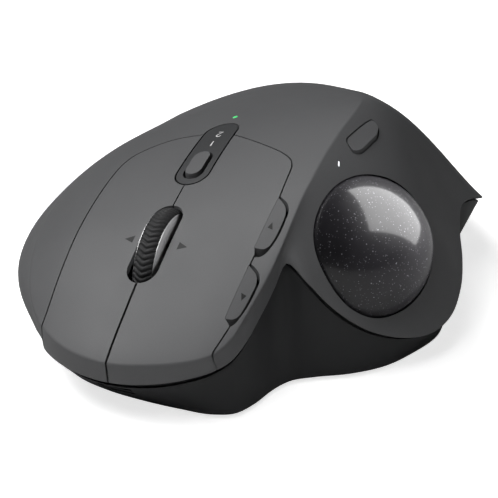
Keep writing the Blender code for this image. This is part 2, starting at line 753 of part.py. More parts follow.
def boards():
    piece("main_board", box((-16.8, 16.8), (-40.3, 14), MAIN_Z), board_green())
    piece("side_button_board", box((16.5, 24.3), (-34.5, -13), SIDE_BOARD_Z), board_green())
    piece("upper_board", box((-6.5, 7.5), (-6.5, 23), UPPER_BOARD_Z), board_green())
    piece("precision_board", box((31.8, 36.0), (10.6, 14.8), (41.0, 41.6)), board_green())
    bracket = piece("side_button_bracket", box((17.2, 18.8), (-26.5, -14), (FLOOR_Z + FIT, 18.7)), frame_plastic())
    join(bracket, box((17.2, 23.5), (-26.5, -14), (17.5, 18.7)))


def battery():
    made = piece("battery", box((-6, 26), (29.5, 60), (FLOOR_Z + FIT, 12)), finish("battery_wrap", (0.3, 0.32, 0.36), 0.4))
    bevel = made.modifiers.new("Bevel", "BEVEL")
    bevel.width = 1.2 * MM
    bevel.segments = 2


def usb_socket():
    made = piece("usb_socket", box((-3.8, 3.8), (-46.2, -41.0), (5.5, 8.0)), steel())
    cut(made, box((-3.4, 3.4), (-50, -41.6), (5.9, 7.6)))


def power_switch():
    x, y = SWITCH_AT
    low = RECESS_Z - 0.4
    pivot = pivot_at("power_pivot", (x, y, low))
    made = piece("power_slider", box((x - 2.5, x + 2.5), (y - 2.5, y + 2.5), (1.2, low)), black_plastic(), pivot)
    join(made, box((x - 1, x + 1), (y - 0.8, y + 0.8), (low - 0.5, 6.5)))
    piece("power_switch", box((x - 3, x + 5.5), (y - 2, y + 2), (6.8, 8.0)), black_plastic())


# ---------------------------------------------------------------- casing and tilt plate

def plate_outline(inset=PLATE_INSET):
    """The tilt plate's edge: the casing's foot moved in, cut straight beside the hinge."""
    points = []
    for angle in rib_angles():
        x, y = plan(angle, around(FOOT_KNOTS, angle)[0] - inset)
        points.append((max(x, PLATE_X + inset - PLATE_INSET), y))
    return points


def hinge_ends(span):
    return [(span[0] - FIT - LUG_LENGTH, span[0] - FIT), (span[1] + FIT, span[1] + FIT + LUG_LENGTH)]


def base_casing():
    made = piece("base_casing", from_sections(casing_section), black_plastic())
    x, y = SWITCH_AT
    cut(made, prism(plate_outline(PLATE_INSET - 0.4), -1, RECESS_Z))
    cut(made, box((HINGE_X - 1.9, HINGE_X + 3), (-24, 41), (-1, RECESS_Z)))
    cut(made, round_cut(BALL.x, BALL.y, EJECT_R, -1, 8))
    cut(made, box((x - 1.3, x + 1.3 + SWITCH_TRAVEL), (y - 1.1, y + 1.1), (-1, 8)))
    cut(made, box((-4.1, 4.1), (-55, -43), (FLOOR_Z + 0.1, 8.2)))
    for place in SCREWS:
        cut(made, round_cut(*place, 2.6, 0, 4.4), round_cut(*place, 1.4, 0, 8, 12))
    for span in HINGE_SPANS:
        for ends in hinge_ends(span):
            lug = helper("hinge_lug", box((HINGE_X - 1.3, HINGE_X + 1.3), ends, (CASING_Z, RECESS_Z + 0.5)))
            cut(lug, rod((HINGE_X, ends[0] - 1, HINGE_Z), (HINGE_X, ends[1] + 1, HINGE_Z), HINGE_PIN_R + FIT, 12))
            join(made, lug)


def tilt_plate():
    pivot = pivot_at("tilt_pivot", (HINGE_X, 0, HINGE_Z))
    x, y = SWITCH_AT
    window = box((x - 3.3, x + 3.3 + SWITCH_TRAVEL), (y - 3.3, y + 3.3), (-1, 4))
    plate = piece("tilt_plate", prism(plate_outline(), *PLATE_Z), steel(), pivot)
    pad = piece("plate_pad", prism(plate_outline(PLATE_INSET + 1), *PAD_Z), finish("rubber", (0.015, 0.015, 0.015), 0.8), pivot)
    for span in HINGE_SPANS:
        join(plate, box((HINGE_X, PLATE_X + 1), span, PLATE_Z))
        join(plate, rod((HINGE_X, span[0], HINGE_Z), (HINGE_X, span[1], HINGE_Z), BARREL_R, 16))
    for span in HINGE_SPANS:
        cut(plate, rod((HINGE_X, span[0] - 1, HINGE_Z), (HINGE_X, span[1] + 1, HINGE_Z), HINGE_PIN_R + FIT, 12))
    window_piece = helper("switch_window", window)
    hole = helper("eject_hole", round_cut(BALL.x, BALL.y, EJECT_R, -1, 4))
    cut(plate, window_piece, hole)
    cut(pad, window_piece, hole)


def hinge_pins():
    for name, span in zip(("hinge_pin_front", "hinge_pin_rear"), HINGE_SPANS):
        ends = hinge_ends(span)
        piece(name, rod((HINGE_X, ends[0][0], HINGE_Z), (HINGE_X, ends[1][1], HINGE_Z), HINGE_PIN_R, 12), steel())


def fasteners():
    for i, (x, y) in enumerate(SCREWS):
        made = piece(f"casing_screw_{i + 1}", rod((x, y, 3.5), (x, y, 4.2), 2.2, 14), steel())
        join(made, rod((x, y, 4.0), (x, y, 12.5), 1.1, 10))
        cut(made, box((x - 0.3, x + 0.3), (y - 1.4, y + 1.4), (3.0, 3.8)))
        cut(made, box((x - 1.4, x + 1.4), (y - 0.3, y + 0.3), (3.0, 3.8)))
    for name, (x, y) in zip(("magnet_front", "magnet_rear"), MAGNETS):
        piece(name, rod((x, y, FLOOR_Z + FIT), (x, y, FLOOR_Z + 2.3), 3.8, 20), steel())


def main():
    clear_scene()
    room = helper("room", from_sections(room_section))
    core = helper("core", from_sections(core_section))
    palm_shell(core)
    keys(core)
    side_buttons(core)
    button_bezel()
    device_button(core)
    precision_button(core)
    lights()
    trackball()
    ball_cup(room)
    bearing_balls()
    ball_sensor()
    wheel()
    wheel_carrier()
    wheel_cradle()
    cradle_brackets()
    switches()
    boards()
    battery()
    usb_socket()
    power_switch()
    base_casing()
    tilt_plate()
    hinge_pins()
    fasteners()


main()
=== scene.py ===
# %% [markdown]
# # A thumb-operated trackball mouse
#
# The mouse stands on a pale studio floor. Its frame, with every joint and size, comes from the packed
# model. This lesson makes the fine surfaces and the finishes: the moulded shell with its keys, the black
# casing under it, the pearl ball in its ring, the ribbed wheel, and the printed marks.

# %% Load the frame
import json
import math

import bmesh
import bpy
from mathutils import Matrix, Vector
from mathutils.bvhtree import BVHTree


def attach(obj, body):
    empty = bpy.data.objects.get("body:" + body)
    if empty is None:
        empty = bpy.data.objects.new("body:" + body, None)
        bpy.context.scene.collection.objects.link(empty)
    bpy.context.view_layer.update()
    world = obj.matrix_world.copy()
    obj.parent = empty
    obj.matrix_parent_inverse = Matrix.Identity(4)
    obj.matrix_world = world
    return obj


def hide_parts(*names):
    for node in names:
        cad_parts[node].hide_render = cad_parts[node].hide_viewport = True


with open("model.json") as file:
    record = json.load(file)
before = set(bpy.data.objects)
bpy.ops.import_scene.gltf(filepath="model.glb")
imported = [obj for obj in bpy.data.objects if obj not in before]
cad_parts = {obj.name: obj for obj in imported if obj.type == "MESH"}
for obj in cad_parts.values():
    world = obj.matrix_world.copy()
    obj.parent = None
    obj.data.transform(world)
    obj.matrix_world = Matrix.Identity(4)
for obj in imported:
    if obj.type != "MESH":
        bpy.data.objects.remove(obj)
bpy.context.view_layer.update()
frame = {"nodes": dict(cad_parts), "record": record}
NODES = frame["nodes"]

# %% [markdown]
# ## Sizes
#
# The lengths here are in millimetres, as on a maker's drawing, and each finished mesh is scaled to
# Blender's metres. The shell is one free-form moulding. A surface like this could be sculpted, or
# modelled with a subdivision cage, but it has to meet the frame's keys and ball within a fraction of a
# millimetre. So it is drawn the way a pattern maker draws it, with a few master curves: where the deck
# folds, where the shell ends, where the casing stands, and how the deck's height runs from front to back.

# %% Master curves
MM = 0.001
HUB = (5.0, 10.0)
WALL = 1.8
RIBS, FEW_RIBS = 288, 144
# y, height over x = 0, cross slope, cross bend
DECK = [
    (-54, 14.6, 0.10, 0.0110), (-49, 18.5, 0.11, 0.0108), (-42, 22.9, 0.11, 0.0095),
    (-35, 27.0, 0.10, 0.0070), (-27, 31.0, 0.108, 0.0056), (-13, 36.4, 0.19, 0.0030),
    (3, 40.3, 0.27, 0.0018), (20, 41.6, 0.34, 0.0018), (35, 40.3, 0.36, 0.0045),
    (50, 36.0, 0.30, 0.0065), (65, 28.0, 0.22, 0.0080), (80, 15.0, 0.1, 0.009),
]
SHOULDER_X = -18.0
SHOULDER = 0.0145
RIDGE = [
    (0, -52.3), (10, -50.9), (17, -48.2), (21.6, -45), (24.6, -40.5), (26, -35.6), (27.2, -29.5),
    (28.3, -21.7), (28.9, -12), (29.6, -2.1), (30.6, 9), (31.4, 18.5), (30, 25.5), (25, 31),
    (17.5, 36), (8, 40), (-6, 41), (-18, 36), (-27.5, 25), (-33, 10), (-34.5, -4), (-33, -17),
    (-29.5, -29), (-25, -37.5), (-20, -43.3), (-10, -50),
]
SEAM = [
    (0, -51.4, 10.4), (10, -49.9, 11.4), (17, -47.2, 12.8), (21.8, -43.6, 13.9), (24.6, -39.6, 15.2),
    (25.8, -36.6, 17), (27, -30, 20.8), (28, -23.6, 25.2), (29.6, -20.6, 30.2), (34.7, -21.3, 26.8),
    (39.6, -20, 21.3), (45, -16.3, 15.3), (50, -11.3, 10.9), (54.4, -6.9, 8.8), (58.2, -1.2, 8),
    (60.2, 6, 9.2), (59.9, 12.7, 11.8), (57.6, 21, 15), (54.6, 28, 19), (53.2, 34, 22), (54.6, 41, 20.6),
    (54.5, 46.7, 17.6), (50, 54, 14.4), (41, 65, 11), (28, 75, 8), (10, 80.2, 6.4), (-9, 76, 6),
    (-23.5, 62, 6), (-32.5, 42, 6.6), (-36, 20, 7), (-37.3, 4, 7.3), (-37.6, -7, 7.3), (-36.3, -16, 7.2),
    (-32.3, -25, 7), (-27, -32.5, 7.2), (-22, -38.9, 8.6), (-19, -43.9, 10), (-10, -49.6, 10.2),
]
FOOT = [
    (3.6, -41.9), (-5, -41), (-14, -38), (-20.5, -30), (-22.3, -18), (-22.6, 0), (-22.4, 20), (-21.5, 38),
    (-18.5, 52), (-10, 63), (2, 69), (20, 67), (34, 59), (43.5, 50.5), (47, 41), (49.5, 31), (54, 20),
    (56, 8.3), (53, -1.2), (49, -8.8), (42.9, -14.6), (36, -18.9), (31.3, -22.8), (28.9, -28.4),
    (27.4, -34.4), (25.2, -39), (20.6, -41.4), (13, -42),
]
# by direction about HUB in degrees: the fold at the ridge, the steepness at the seam, the fullness
FOLD = [
    (253, 60), (270, 64), (284, 60), (292, 62), (302, 58), (308, 50), (314, 42), (322, 37), (340, 37),
    (355, 42), (8, 43), (20, 34), (30, 18), (38, 8), (48, 0), (60, 0), (90, 0), (150, 0), (180, 3),
    (205, 8), (225, 22), (243, 50),
]
STEEP = [
    (253, 95), (270, 96), (284, 95), (298, 93), (305, 88), (311, 66), (322, 63), (340, 62), (0, 64),
    (15, 60), (30, 50), (40, 44), (55, 48), (72, 60), (90, 76), (150, 90), (180, 106), (205, 122),
    (222, 118), (236, 106), (243, 97),
]
PULL = [
    (253, 0.45), (314, 0.42), (340, 0.43), (0, 0.43), (22, 0.34), (38, 0.26), (60, 0.28), (90, 0.40),
    (150, 0.48), (172, 0.56), (190, 0.62), (205, 0.60), (222, 0.55), (243, 0.45),
]
# the step in and down from the shell's edge to the casing's: direction, in, down
LAP = [
    (0, 1.6, 0.9), (40, 1.2, 0.6), (90, 0.6, 0.5), (200, 0.6, 0.5), (240, 1.0, 0.9), (256, 1.3, 1.3),
    (285, 1.3, 1.5), (296, 1.0, 0.8), (315, 1.4, 0.9), (340, 1.6, 0.9),
]
# how round the shell's edge is: direction, radius
RIM = [(0, 0.28), (18, 0.45), (30, 0.6), (60, 0.6), (85, 0.3), (200, 0.28), (300, 0.28)]
CASING_Z, RECESS_Z, FLOOR_Z = 0.8, 3.4, 5.2
print(len(RIDGE), "knots on the ridge,", len(SEAM), "on the seam,", len(FOOT), "on the foot")

# %% [markdown]
# A smooth curve is then drawn through the knots of each table. The curve is a cubic between two knots, and
# its slope at a knot is a mean of the slopes on both sides, so it never swings far past a knot. The tables
# that go by direction close on themselves.

# %% Smooth curves through the knots
def through(knots, x):
    """Smooth values at x through knots (x, value, ...) in rising x."""
    i = 0
    while i < len(knots) - 2 and x > knots[i + 1][0]:
        i += 1

    def rise(a):
        span = knots[a + 1][0] - knots[a][0]
        return span, [(q - p) / span for p, q in zip(knots[a][1:], knots[a + 1][1:])]

    def slope(a):
        if a == 0:
            return rise(0)[1]
        if a == len(knots) - 1:
            return rise(a - 1)[1]
        (w0, s0), (w1, s1) = rise(a - 1), rise(a)
        return [(p * w1 + q * w0) / (w0 + w1) for p, q in zip(s0, s1)]

    span = knots[i + 1][0] - knots[i][0]
    t = min(1.0, max(0.0, (x - knots[i][0]) / span))
    a, b, c, d = 2 * t**3 - 3 * t**2 + 1, t**3 - 2 * t**2 + t, 3 * t**2 - 2 * t**3, t**3 - t**2
    ends = zip(knots[i][1:], knots[i + 1][1:], slope(i), slope(i + 1))
    return [a * p + b * span * m + c * q + d * span * n for p, q, m, n in ends]


def ring_of(knots):
    """Knots by angle that close on themselves, ready for through()."""
    ring = sorted(knots)
    return [(k[0] - 360, *k[1:]) for k in ring[-3:]] + ring + [(k[0] + 360, *k[1:]) for k in ring[:3]]


def turned(points):
    """Points (x, y, ...) as knots (direction about HUB, distance, ...)."""
    knots = []
    for x, y, *rest in points:
        angle = math.degrees(math.atan2(y - HUB[1], x - HUB[0])) % 360
        knots.append((angle, math.hypot(x - HUB[0], y - HUB[1]), *rest))
    return ring_of(knots)


RIDGE_RING, SEAM_RING, FOOT_RING = turned(RIDGE), turned(SEAM), turned(FOOT)
FOLD_RING, STEEP_RING, PULL_RING, LAP_RING, RIM_RING = (ring_of(k) for k in (FOLD, STEEP, PULL, LAP, RIM))


def plan(angle, distance):
    """The place seen from above that lies at that distance in that direction from HUB."""
    turn = math.radians(angle)
    return HUB[0] + distance * math.cos(turn), HUB[1] + distance * math.sin(turn)


def deck_z(x, y):
    """The deck's height over the desk."""
    height, lean, bend = through(DECK, y)
    return height + lean * x - bend * x * x - SHOULDER * min(0.0, x - SHOULDER_X) ** 2


print("the deck is", round(deck_z(0, 0), 1), "mm high over the origin")

# %% [markdown]
# ## The shell's section
#
# Cut through the shell by an upright plane at the hub and it shows one line: the deck, a crisp fold, and
# a flank that falls to the seam. The fold is rounded over half a millimetre, as the mould's edge is. That
# small round is what draws the thin light line along the thumb side. The same line, moved inwards by the
# wall's thickness, is the inside of the moulding.

# %% One section of the shell
EDGE, INNER_EDGE = 0.4, 0.2
DECK_ROWS, FOLD_ROWS, FLANK_ROWS = 22, 4, 22
INNER_DECK_ROWS, INNER_FLANK_ROWS = 6, 9
PROBE = 0.5  # how far apart two points are when they measure the deck's slope


def bezier(corners, t):
    """The point at t on the cubic curve of four corners."""
    shares = [(1 - t) ** 3, 3 * (1 - t) ** 2 * t, 3 * (1 - t) * t**2, t**3]
    return tuple(sum(s * c[k] for s, c in zip(shares, corners)) for k in (0, 1))


def shell_line(angle, depth=0.0, deck_rows=DECK_ROWS, flank_rows=FLANK_ROWS, edge=EDGE):
    """(distance, height) from the hub to the seam, that far under the outside."""
    ridge = through(RIDGE_RING, angle)[0]
    seam, seam_z = through(SEAM_RING, angle)
    ridge_z = deck_z(*plan(angle, ridge))
    fall = math.atan2(deck_z(*plan(angle, ridge - PROBE)) - ridge_z, PROBE)
    start = fall + math.radians(through(FOLD_RING, angle)[0])
    end = math.radians(through(STEEP_RING, angle)[0])
    points = []
    for i in range(deck_rows + 1):
        distance = (ridge - edge) * i / deck_rows
        height = deck_z(*plan(angle, distance))
        lean = math.atan2(deck_z(*plan(angle, distance - PROBE)) - height, PROBE) if i else 0.0
        points.append((distance - depth * math.sin(lean), height - depth * math.cos(lean)))
    middle, spread = (fall + start) / 2, depth / math.cos((start - fall) / 2)
    ridge, ridge_z = ridge - spread * math.sin(middle), ridge_z - spread * math.cos(middle)
    seam -= depth / max(0.6, math.sin(end))
    reach = math.hypot(seam - ridge, seam_z - ridge_z) * through(PULL_RING, angle)[0]
    corners = [
        (ridge, ridge_z),
        (ridge + reach * math.cos(start), ridge_z - reach * math.sin(start)),
        (seam - reach * math.cos(end), seam_z + reach * math.sin(end)),
        (seam, seam_z),
    ]
    begin = min(0.2, edge / (3 * reach))
    first, last = points[-1], bezier(corners, begin)
    for i in range(1, FOLD_ROWS):
        t = i / FOLD_ROWS
        points.append(
            tuple((1 - t) ** 2 * first[k] + 2 * (1 - t) * t * corners[0][k] + t * t * last[k] for k in (0, 1))
        )
    for i in range(flank_rows + 1):
        points.append(bezier(corners, begin + (1 - begin) * i / flank_rows))
    return points


def shell_section(angle, outer=0.0, inner=WALL):
    """The closed half section of the moulding, with a rounded rim at the seam."""
    outside = shell_line(angle, outer)
    inside = shell_line(angle, inner, INNER_DECK_ROWS, INNER_FLANK_ROWS, INNER_EDGE)
    (near_r, near_z), (rim_r, rim_z) = outside[-2:]
    radius = through(RIM_RING, angle)[0]
    first = Vector((near_r - rim_r, near_z - rim_z)).normalized() * radius
    last = Vector((-radius, 0))
    rim = [Vector((rim_r, rim_z)) + (1 - t) ** 2 * first + t * t * last for t in (0, 0.25, 0.5, 0.75, 1)]
    return outside[:-1] + [tuple(point) for point in rim] + inside[::-1]


print(len(shell_section(0)), "points in each of", RIBS, "sections")

# %% [markdown]
# ## From sections to a solid
#
# Spinning a row of points about the hub gives a disc of clean quads, one row for each point and one
# sector for each rib. Every point of the disc is then moved to its place on the section for its own
# direction. The two ends of a section meet on the axis, where a merge closes the poles.

# %% Spin and lift
MERGE = 1e-4


def lifted(section, ribs=RIBS):
    """A closed solid whose half section depends on the direction about the hub."""
    rows = [section(360.0 * j / ribs) for j in range(ribs)]
    disc = bmesh.new()
    line = [disc.verts.new((i, 0, 0)) for i in range(len(rows[0]))]
    edges = [disc.edges.new(pair) for pair in zip(line, line[1:])]
    bmesh.ops.spin(
        disc, geom=line + edges, cent=(0, 0, 0), axis=(0, 0, 1), angle=math.tau, steps=ribs, use_merge=True
    )
    for vert in disc.verts:
        row = round(vert.co.xy.length)
        rib = round(math.degrees(math.atan2(vert.co.y, vert.co.x)) * ribs / 360.0) % ribs
        distance, height = rows[rib][row]
        vert.co = (*plan(360.0 * rib / ribs, distance), height)
    bmesh.ops.remove_doubles(disc, verts=disc.verts[:], dist=MERGE)
    bmesh.ops.triangulate(disc, faces=disc.faces[:])
    bmesh.ops.recalc_face_normals(disc, faces=disc.faces[:])
    return disc


SKIN = lifted(shell_section)
SKIN_TREE = BVHTree.FromBMesh(SKIN)
SKIN.verts.ensure_lookup_table()
SKIN.faces.ensure_lookup_table()
print("skin:", len(SKIN.faces), "faces")

# %% [markdown]
# ## Small tools
#
# The keys, the thumb panel and the bezel are cut from this one skin, as they follow one surface on the
# real mouse. The cutting is done with Boolean modifiers, and their result is kept. A cut leaves long thin
# triangles beside it, which would catch the light, so each piece takes its shading normals from the whole
# skin wherever it still lies on it.

# %% Cuts that are kept
SCRAP = bpy.data.collections.new("scrap")
bpy.context.scene.collection.children.link(SCRAP)


def scrap(shape):
    """A short-lived object for a Boolean modifier."""
    data = bpy.data.meshes.new("scrap")
    shape.to_mesh(data)
    made = bpy.data.objects.new("scrap", data)
    SCRAP.objects.link(made)
    return made


def carved(shape, cuts):
    """The bmesh after (operation, other bmesh) steps."""
    base = scrap(shape)
    others = []
    for operation, other in cuts:
        others.append(scrap(other))
        step = base.modifiers.new(operation, "BOOLEAN")
        step.operation = operation
        step.solver = "MANIFOLD"
        step.object = others[-1]
    evaluated = base.evaluated_get(bpy.context.evaluated_depsgraph_get())
    result = bmesh.new()
    result.from_mesh(evaluated.to_mesh())
    evaluated.to_mesh_clear()
    for made in [base] + others:
        bpy.data.objects.remove(made, do_unlink=True)
    bmesh.ops.remove_doubles(result, verts=result.verts[:], dist=MERGE)
    return result


print("cuts are made in", SCRAP.name)

# %% Finished pieces
NEAR_SKIN, FACES_ALONG = 0.02, 0.8


def skin_normal(point):
    """The shading normal of the whole skin at its nearest place, and how far that is."""
    spot, _, index, distance = SKIN_TREE.find_nearest(point)
    verts = SKIN.faces[index].verts
    a, b, c = (v.co for v in verts)
    whole = (b - a).cross(c - a).length
    weights = [(b - spot).cross(c - spot).length, (c - spot).cross(a - spot).length]
    weights = [w / whole for w in weights]
    weights.append(max(0.0, 1 - sum(weights)))
    blend = sum((v.normal * w for v, w in zip(verts, weights)), Vector())
    return blend.normalized(), distance


def piece(name, shape, finish, body, slot, *stands_for, sharp=32.0, on_skin=False):
    """A finished piece: scaled to metres, shaded, given its finish and its body. The slot is not used."""
    data = bpy.data.meshes.new(name)
    shape.to_mesh(data)
    shape.free()
    data.shade_smooth()
    data.set_sharp_from_angle(angle=math.radians(sharp))
    if on_skin:
        normals = [c.vector.copy() for c in data.corner_normals]
        known = {}
        for face in data.polygons:
            for loop in face.loop_indices:
                index = data.loops[loop].vertex_index
                if index not in known:
                    known[index] = skin_normal(data.vertices[index].co)
                normal, distance = known[index]
                if distance < NEAR_SKIN and normal.dot(face.normal) > FACES_ALONG:
                    normals[loop] = normal
        data.normals_split_custom_set(normals)
    data.transform(Matrix.Scale(MM, 4))
    data.materials.append(finish)
    made = bpy.data.objects.new(name, data)
    bpy.context.scene.collection.objects.link(made)
    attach(made, body)
    if stands_for:
        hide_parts(*stands_for)
    print(f"{name}: {len(data.polygons)} faces")
    return made


print("pieces are scaled by", MM)

# %% [markdown]
# ## Simple solids
#
# Most cutters are an outline raised straight up, a block, a rod, or a profile spun to a ring. Each comes
# from one bmesh operator, so a short function for each keeps the later steps readable.

# %% Prism, block, rod and ring
BELOW_ALL, ABOVE_ALL = -5.0, 62.0


def prism(outline, low=BELOW_ALL, high=ABOVE_ALL):
    """An outline seen from above, raised from low to high."""
    shape = bmesh.new()
    face = shape.faces.new([shape.verts.new((x, y, low)) for x, y in outline])
    raised = bmesh.ops.extrude_face_region(shape, geom=[face])
    top = [item for item in raised["geom"] if isinstance(item, bmesh.types.BMVert)]
    bmesh.ops.translate(shape, vec=(0, 0, high - low), verts=top)
    bmesh.ops.triangulate(shape, faces=shape.faces[:])
    bmesh.ops.recalc_face_normals(shape, faces=shape.faces[:])
    return shape


def block(x, y, z):
    """A box between (low, high) limits along each axis."""
    shape = bmesh.new()
    size = (x[1] - x[0], y[1] - y[0], z[1] - z[0])
    middle = Vector((x[0] + x[1], y[0] + y[1], z[0] + z[1])) / 2
    bmesh.ops.create_cube(shape, size=1.0, matrix=Matrix.Translation(middle) @ Matrix.Diagonal((*size, 1)))
    return shape


def upright_to(direction):
    """The turn that lays +Z along a direction."""
    return Vector(direction).to_track_quat("Z", "Y").to_matrix().to_4x4()


def rod(start, end, radius, sides=48):
    """A round bar between two points."""
    shape = bmesh.new()
    start, end = Vector(start), Vector(end)
    place = Matrix.Translation((start + end) / 2) @ upright_to(end - start)
    bmesh.ops.create_cone(
        shape, cap_ends=True, segments=sides, radius1=radius, radius2=radius, depth=(end - start).length,
        matrix=place,
    )
    return shape


def ring(profile, centre, axis, steps):
    """A closed profile (radius, along) spun about an axis through centre."""
    shape = bmesh.new()
    verts = [shape.verts.new((r, 0, h)) for r, h in profile]
    edges = [shape.edges.new(pair) for pair in zip(verts, verts[1:] + verts[:1])]
    bmesh.ops.spin(
        shape, geom=verts + edges, cent=(0, 0, 0), axis=(0, 0, 1), angle=math.tau, steps=steps, use_merge=True
    )
    bmesh.ops.recalc_face_normals(shape, faces=shape.faces[:])
    place = Matrix.Translation(Vector(centre)) @ upright_to(axis)
    bmesh.ops.transform(shape, matrix=place, verts=shape.verts[:])
    return shape


print("solids ready")

# %% [markdown]
# ## Outlines
#
# A key's outline is a handful of corners, each with how far back from it the bend begins. A designer would
# draw it the same way and then set the fillets. The gap round a key is the same outline moved outwards.

# %% Arcs, rounded corners and offsets
SHORTEST = 0.02


def arc(centre, radius, start, end, count):
    """Points on a circle from one direction to another, in degrees."""
    steps = [math.radians(start + (end - start) * i / count) for i in range(count + 1)]
    return [(centre[0] + radius * math.cos(a), centre[1] + radius * math.sin(a)) for a in steps]


def stadium(x, front, rear, radius, count=24):
    """A slot with round ends that runs from front to rear."""
    return arc((x, rear - radius), radius, 0, 180, count) + arc((x, front + radius), radius, 180, 360, count)


def neighbours(outline):
    """Each point with the one before it and the one after it."""
    return zip(outline[-1:] + outline[:-1], outline, outline[1:] + outline[:1])


def rounded(outline, steps=7):
    """Corners (x, y, reach) drawn as smooth bends that start reach from the corner."""
    points = []
    for before, here, after in neighbours(outline):
        corner = Vector(here[:2])
        back, on = Vector(before[:2]) - corner, Vector(after[:2]) - corner
        first = corner + back.normalized() * min(here[2], back.length * 0.5)
        last = corner + on.normalized() * min(here[2], on.length * 0.5)
        for i in range(steps + 1):
            t = i / steps
            point = (1 - t) ** 2 * first + 2 * (1 - t) * t * corner + t * t * last
            if not points or (Vector(points[-1]) - point).length > SHORTEST:
                points.append(tuple(point))
    return points


def grown(outline, by):
    """An anticlockwise outline moved outwards."""
    moved = []
    for before, here, after in neighbours(outline):
        run_in = (Vector(here) - Vector(before)).normalized()
        run_out = (Vector(after) - Vector(here)).normalized()
        bisector = Vector((run_in.y + run_out.y, -run_in.x - run_out.x)).normalized()
        reach = by / max(0.5, bisector.dot(Vector((run_in.y, -run_in.x))))
        moved.append((here[0] + bisector.x * reach, here[1] + bisector.y * reach))
    return moved


print("a 2 by 4 slot has", len(stadium(0, 0, 4, 1)), "points")

# %% [markdown]
# ## Shared surface effects
#
# Moulded plastic is never quite even: the mould is spark-eroded to a fine grain, the pigment clouds a
# little, and hands polish it in patches. One node group gives all of that, and each plastic here uses it
# with its own values. It gives out a tint, a roughness and a grain height, and the shader that reads them
# stays in each material.

# %% Short names for the nodes
COLOUR_A, COLOUR_B, COLOUR_OUT = 6, 7, 2  # where the Mix node keeps its colour sockets


def new_group(name, inputs, outputs):
    group = bpy.data.node_groups.new(name, "ShaderNodeTree")
    for label, kind, value in inputs:
        socket = group.interface.new_socket(label, in_out="INPUT", socket_type=kind)
        socket.default_value = value
    for label, kind in outputs:
        group.interface.new_socket(label, in_out="OUTPUT", socket_type=kind)
    return group, group.nodes.new("NodeGroupInput"), group.nodes.new("NodeGroupOutput")


def noise(tree, coords, scale, detail=3.0, roughness=0.5):
    """Clouds from 0 to 1, most of it between 0.3 and 0.7."""
    node = tree.nodes.new("ShaderNodeTexNoise")
    node.inputs["Detail"].default_value = detail
    node.inputs["Roughness"].default_value = roughness
    tree.links.new(coords, node.inputs["Vector"])
    if isinstance(scale, (int, float)):
        node.inputs["Scale"].default_value = scale
    else:
        tree.links.new(scale, node.inputs["Scale"])
    return node.outputs["Fac"]


def math_node(tree, operation, a, b):
    node = tree.nodes.new("ShaderNodeMath")
    node.operation = operation
    for socket, value in zip(node.inputs, (a, b)):
        if isinstance(value, (int, float)):
            socket.default_value = value
        else:
            tree.links.new(value, socket)
    return node.outputs[0]


def map_range(tree, value, low, high, to_low, to_high):
    node = tree.nodes.new("ShaderNodeMapRange")
    tree.links.new(value, node.inputs["Value"])
    for label, v in (("From Min", low), ("From Max", high), ("To Min", to_low), ("To Max", to_high)):
        if isinstance(v, (int, float)):
            node.inputs[label].default_value = v
        else:
            tree.links.new(v, node.inputs[label])
    return node.outputs["Result"]


def varied(tree, clouds, low, high):
    """The clouds' middle part stretched from low to high."""
    return map_range(tree, clouds, 0.3, 0.7, low, high)


def mix_colour(tree, share, a, b):
    node = tree.nodes.new("ShaderNodeMix")
    node.data_type = "RGBA"
    for index, value in ((0, share), (COLOUR_A, a), (COLOUR_B, b)):
        socket = node.inputs[index]
        if isinstance(value, (int, float, tuple)):
            socket.default_value = value
        else:
            tree.links.new(value, socket)
    return node.outputs[COLOUR_OUT]


print("node helpers ready")

# %% The moulded grain group
grain, g_in, g_out = new_group(
    "moulded_grain",
    [
        ("Vector", "NodeSocketVector", (0, 0, 0)),
        ("Colour", "NodeSocketColor", (0.1, 0.1, 0.1, 1)),
        ("Grain Scale", "NodeSocketFloat", 5200.0),
        ("Roughness Low", "NodeSocketFloat", 0.5),
        ("Roughness High", "NodeSocketFloat", 0.6),
    ],
    [("Colour", "NodeSocketColor"), ("Roughness", "NodeSocketFloat"), ("Height", "NodeSocketFloat")],
)
fine = noise(grain, g_in.outputs["Vector"], g_in.outputs["Grain Scale"], 2.0, 0.6)
patches = noise(grain, g_in.outputs["Vector"], 55.0, 4.0, 0.55)
clouds = noise(grain, g_in.outputs["Vector"], 17.0, 2.0, 0.5)
cloudy, grainy = varied(grain, clouds, 0.95, 1.04), varied(grain, fine, -0.05, 0.05)
tint = math_node(grain, "ADD", cloudy, grainy)
scaled = grain.nodes.new("ShaderNodeVectorMath")
scaled.operation = "SCALE"
grain.links.new(g_in.outputs["Colour"], scaled.inputs[0])
grain.links.new(tint, scaled.inputs["Scale"])
grain.links.new(scaled.outputs[0], g_out.inputs["Colour"])
rough = varied(grain, patches, g_in.outputs["Roughness Low"], g_in.outputs["Roughness High"])
grain.links.new(rough, g_out.inputs["Roughness"])
grain.links.new(fine, g_out.inputs["Height"])
print("groups:", [g.name for g in bpy.data.node_groups])

# %% [markdown]
# ## Plastics
#
# The shell and keys are a graphite grey with a soft satin grain, the casing and most inner parts are
# black, and the same black is painted shade on the wheel's frames and round the ball's opening. All of them
# use the grain group and a Bump node for the fine texture.

# %% Plastic finishes
GRAIN_HEIGHT = 0.00004


def new_material(name):
    material = bpy.data.materials.new(name)
    material.use_nodes = True
    return material, material.node_tree, material.node_tree.nodes["Principled BSDF"]


def object_coords(tree):
    return tree.nodes.new("ShaderNodeTexCoord").outputs["Object"]


def bump(tree, shader, height, strength, distance):
    node = tree.nodes.new("ShaderNodeBump")
    node.inputs["Strength"].default_value = strength
    node.inputs["Distance"].default_value = distance
    tree.links.new(height, node.inputs["Height"])
    tree.links.new(node.outputs["Normal"], shader.inputs["Normal"])


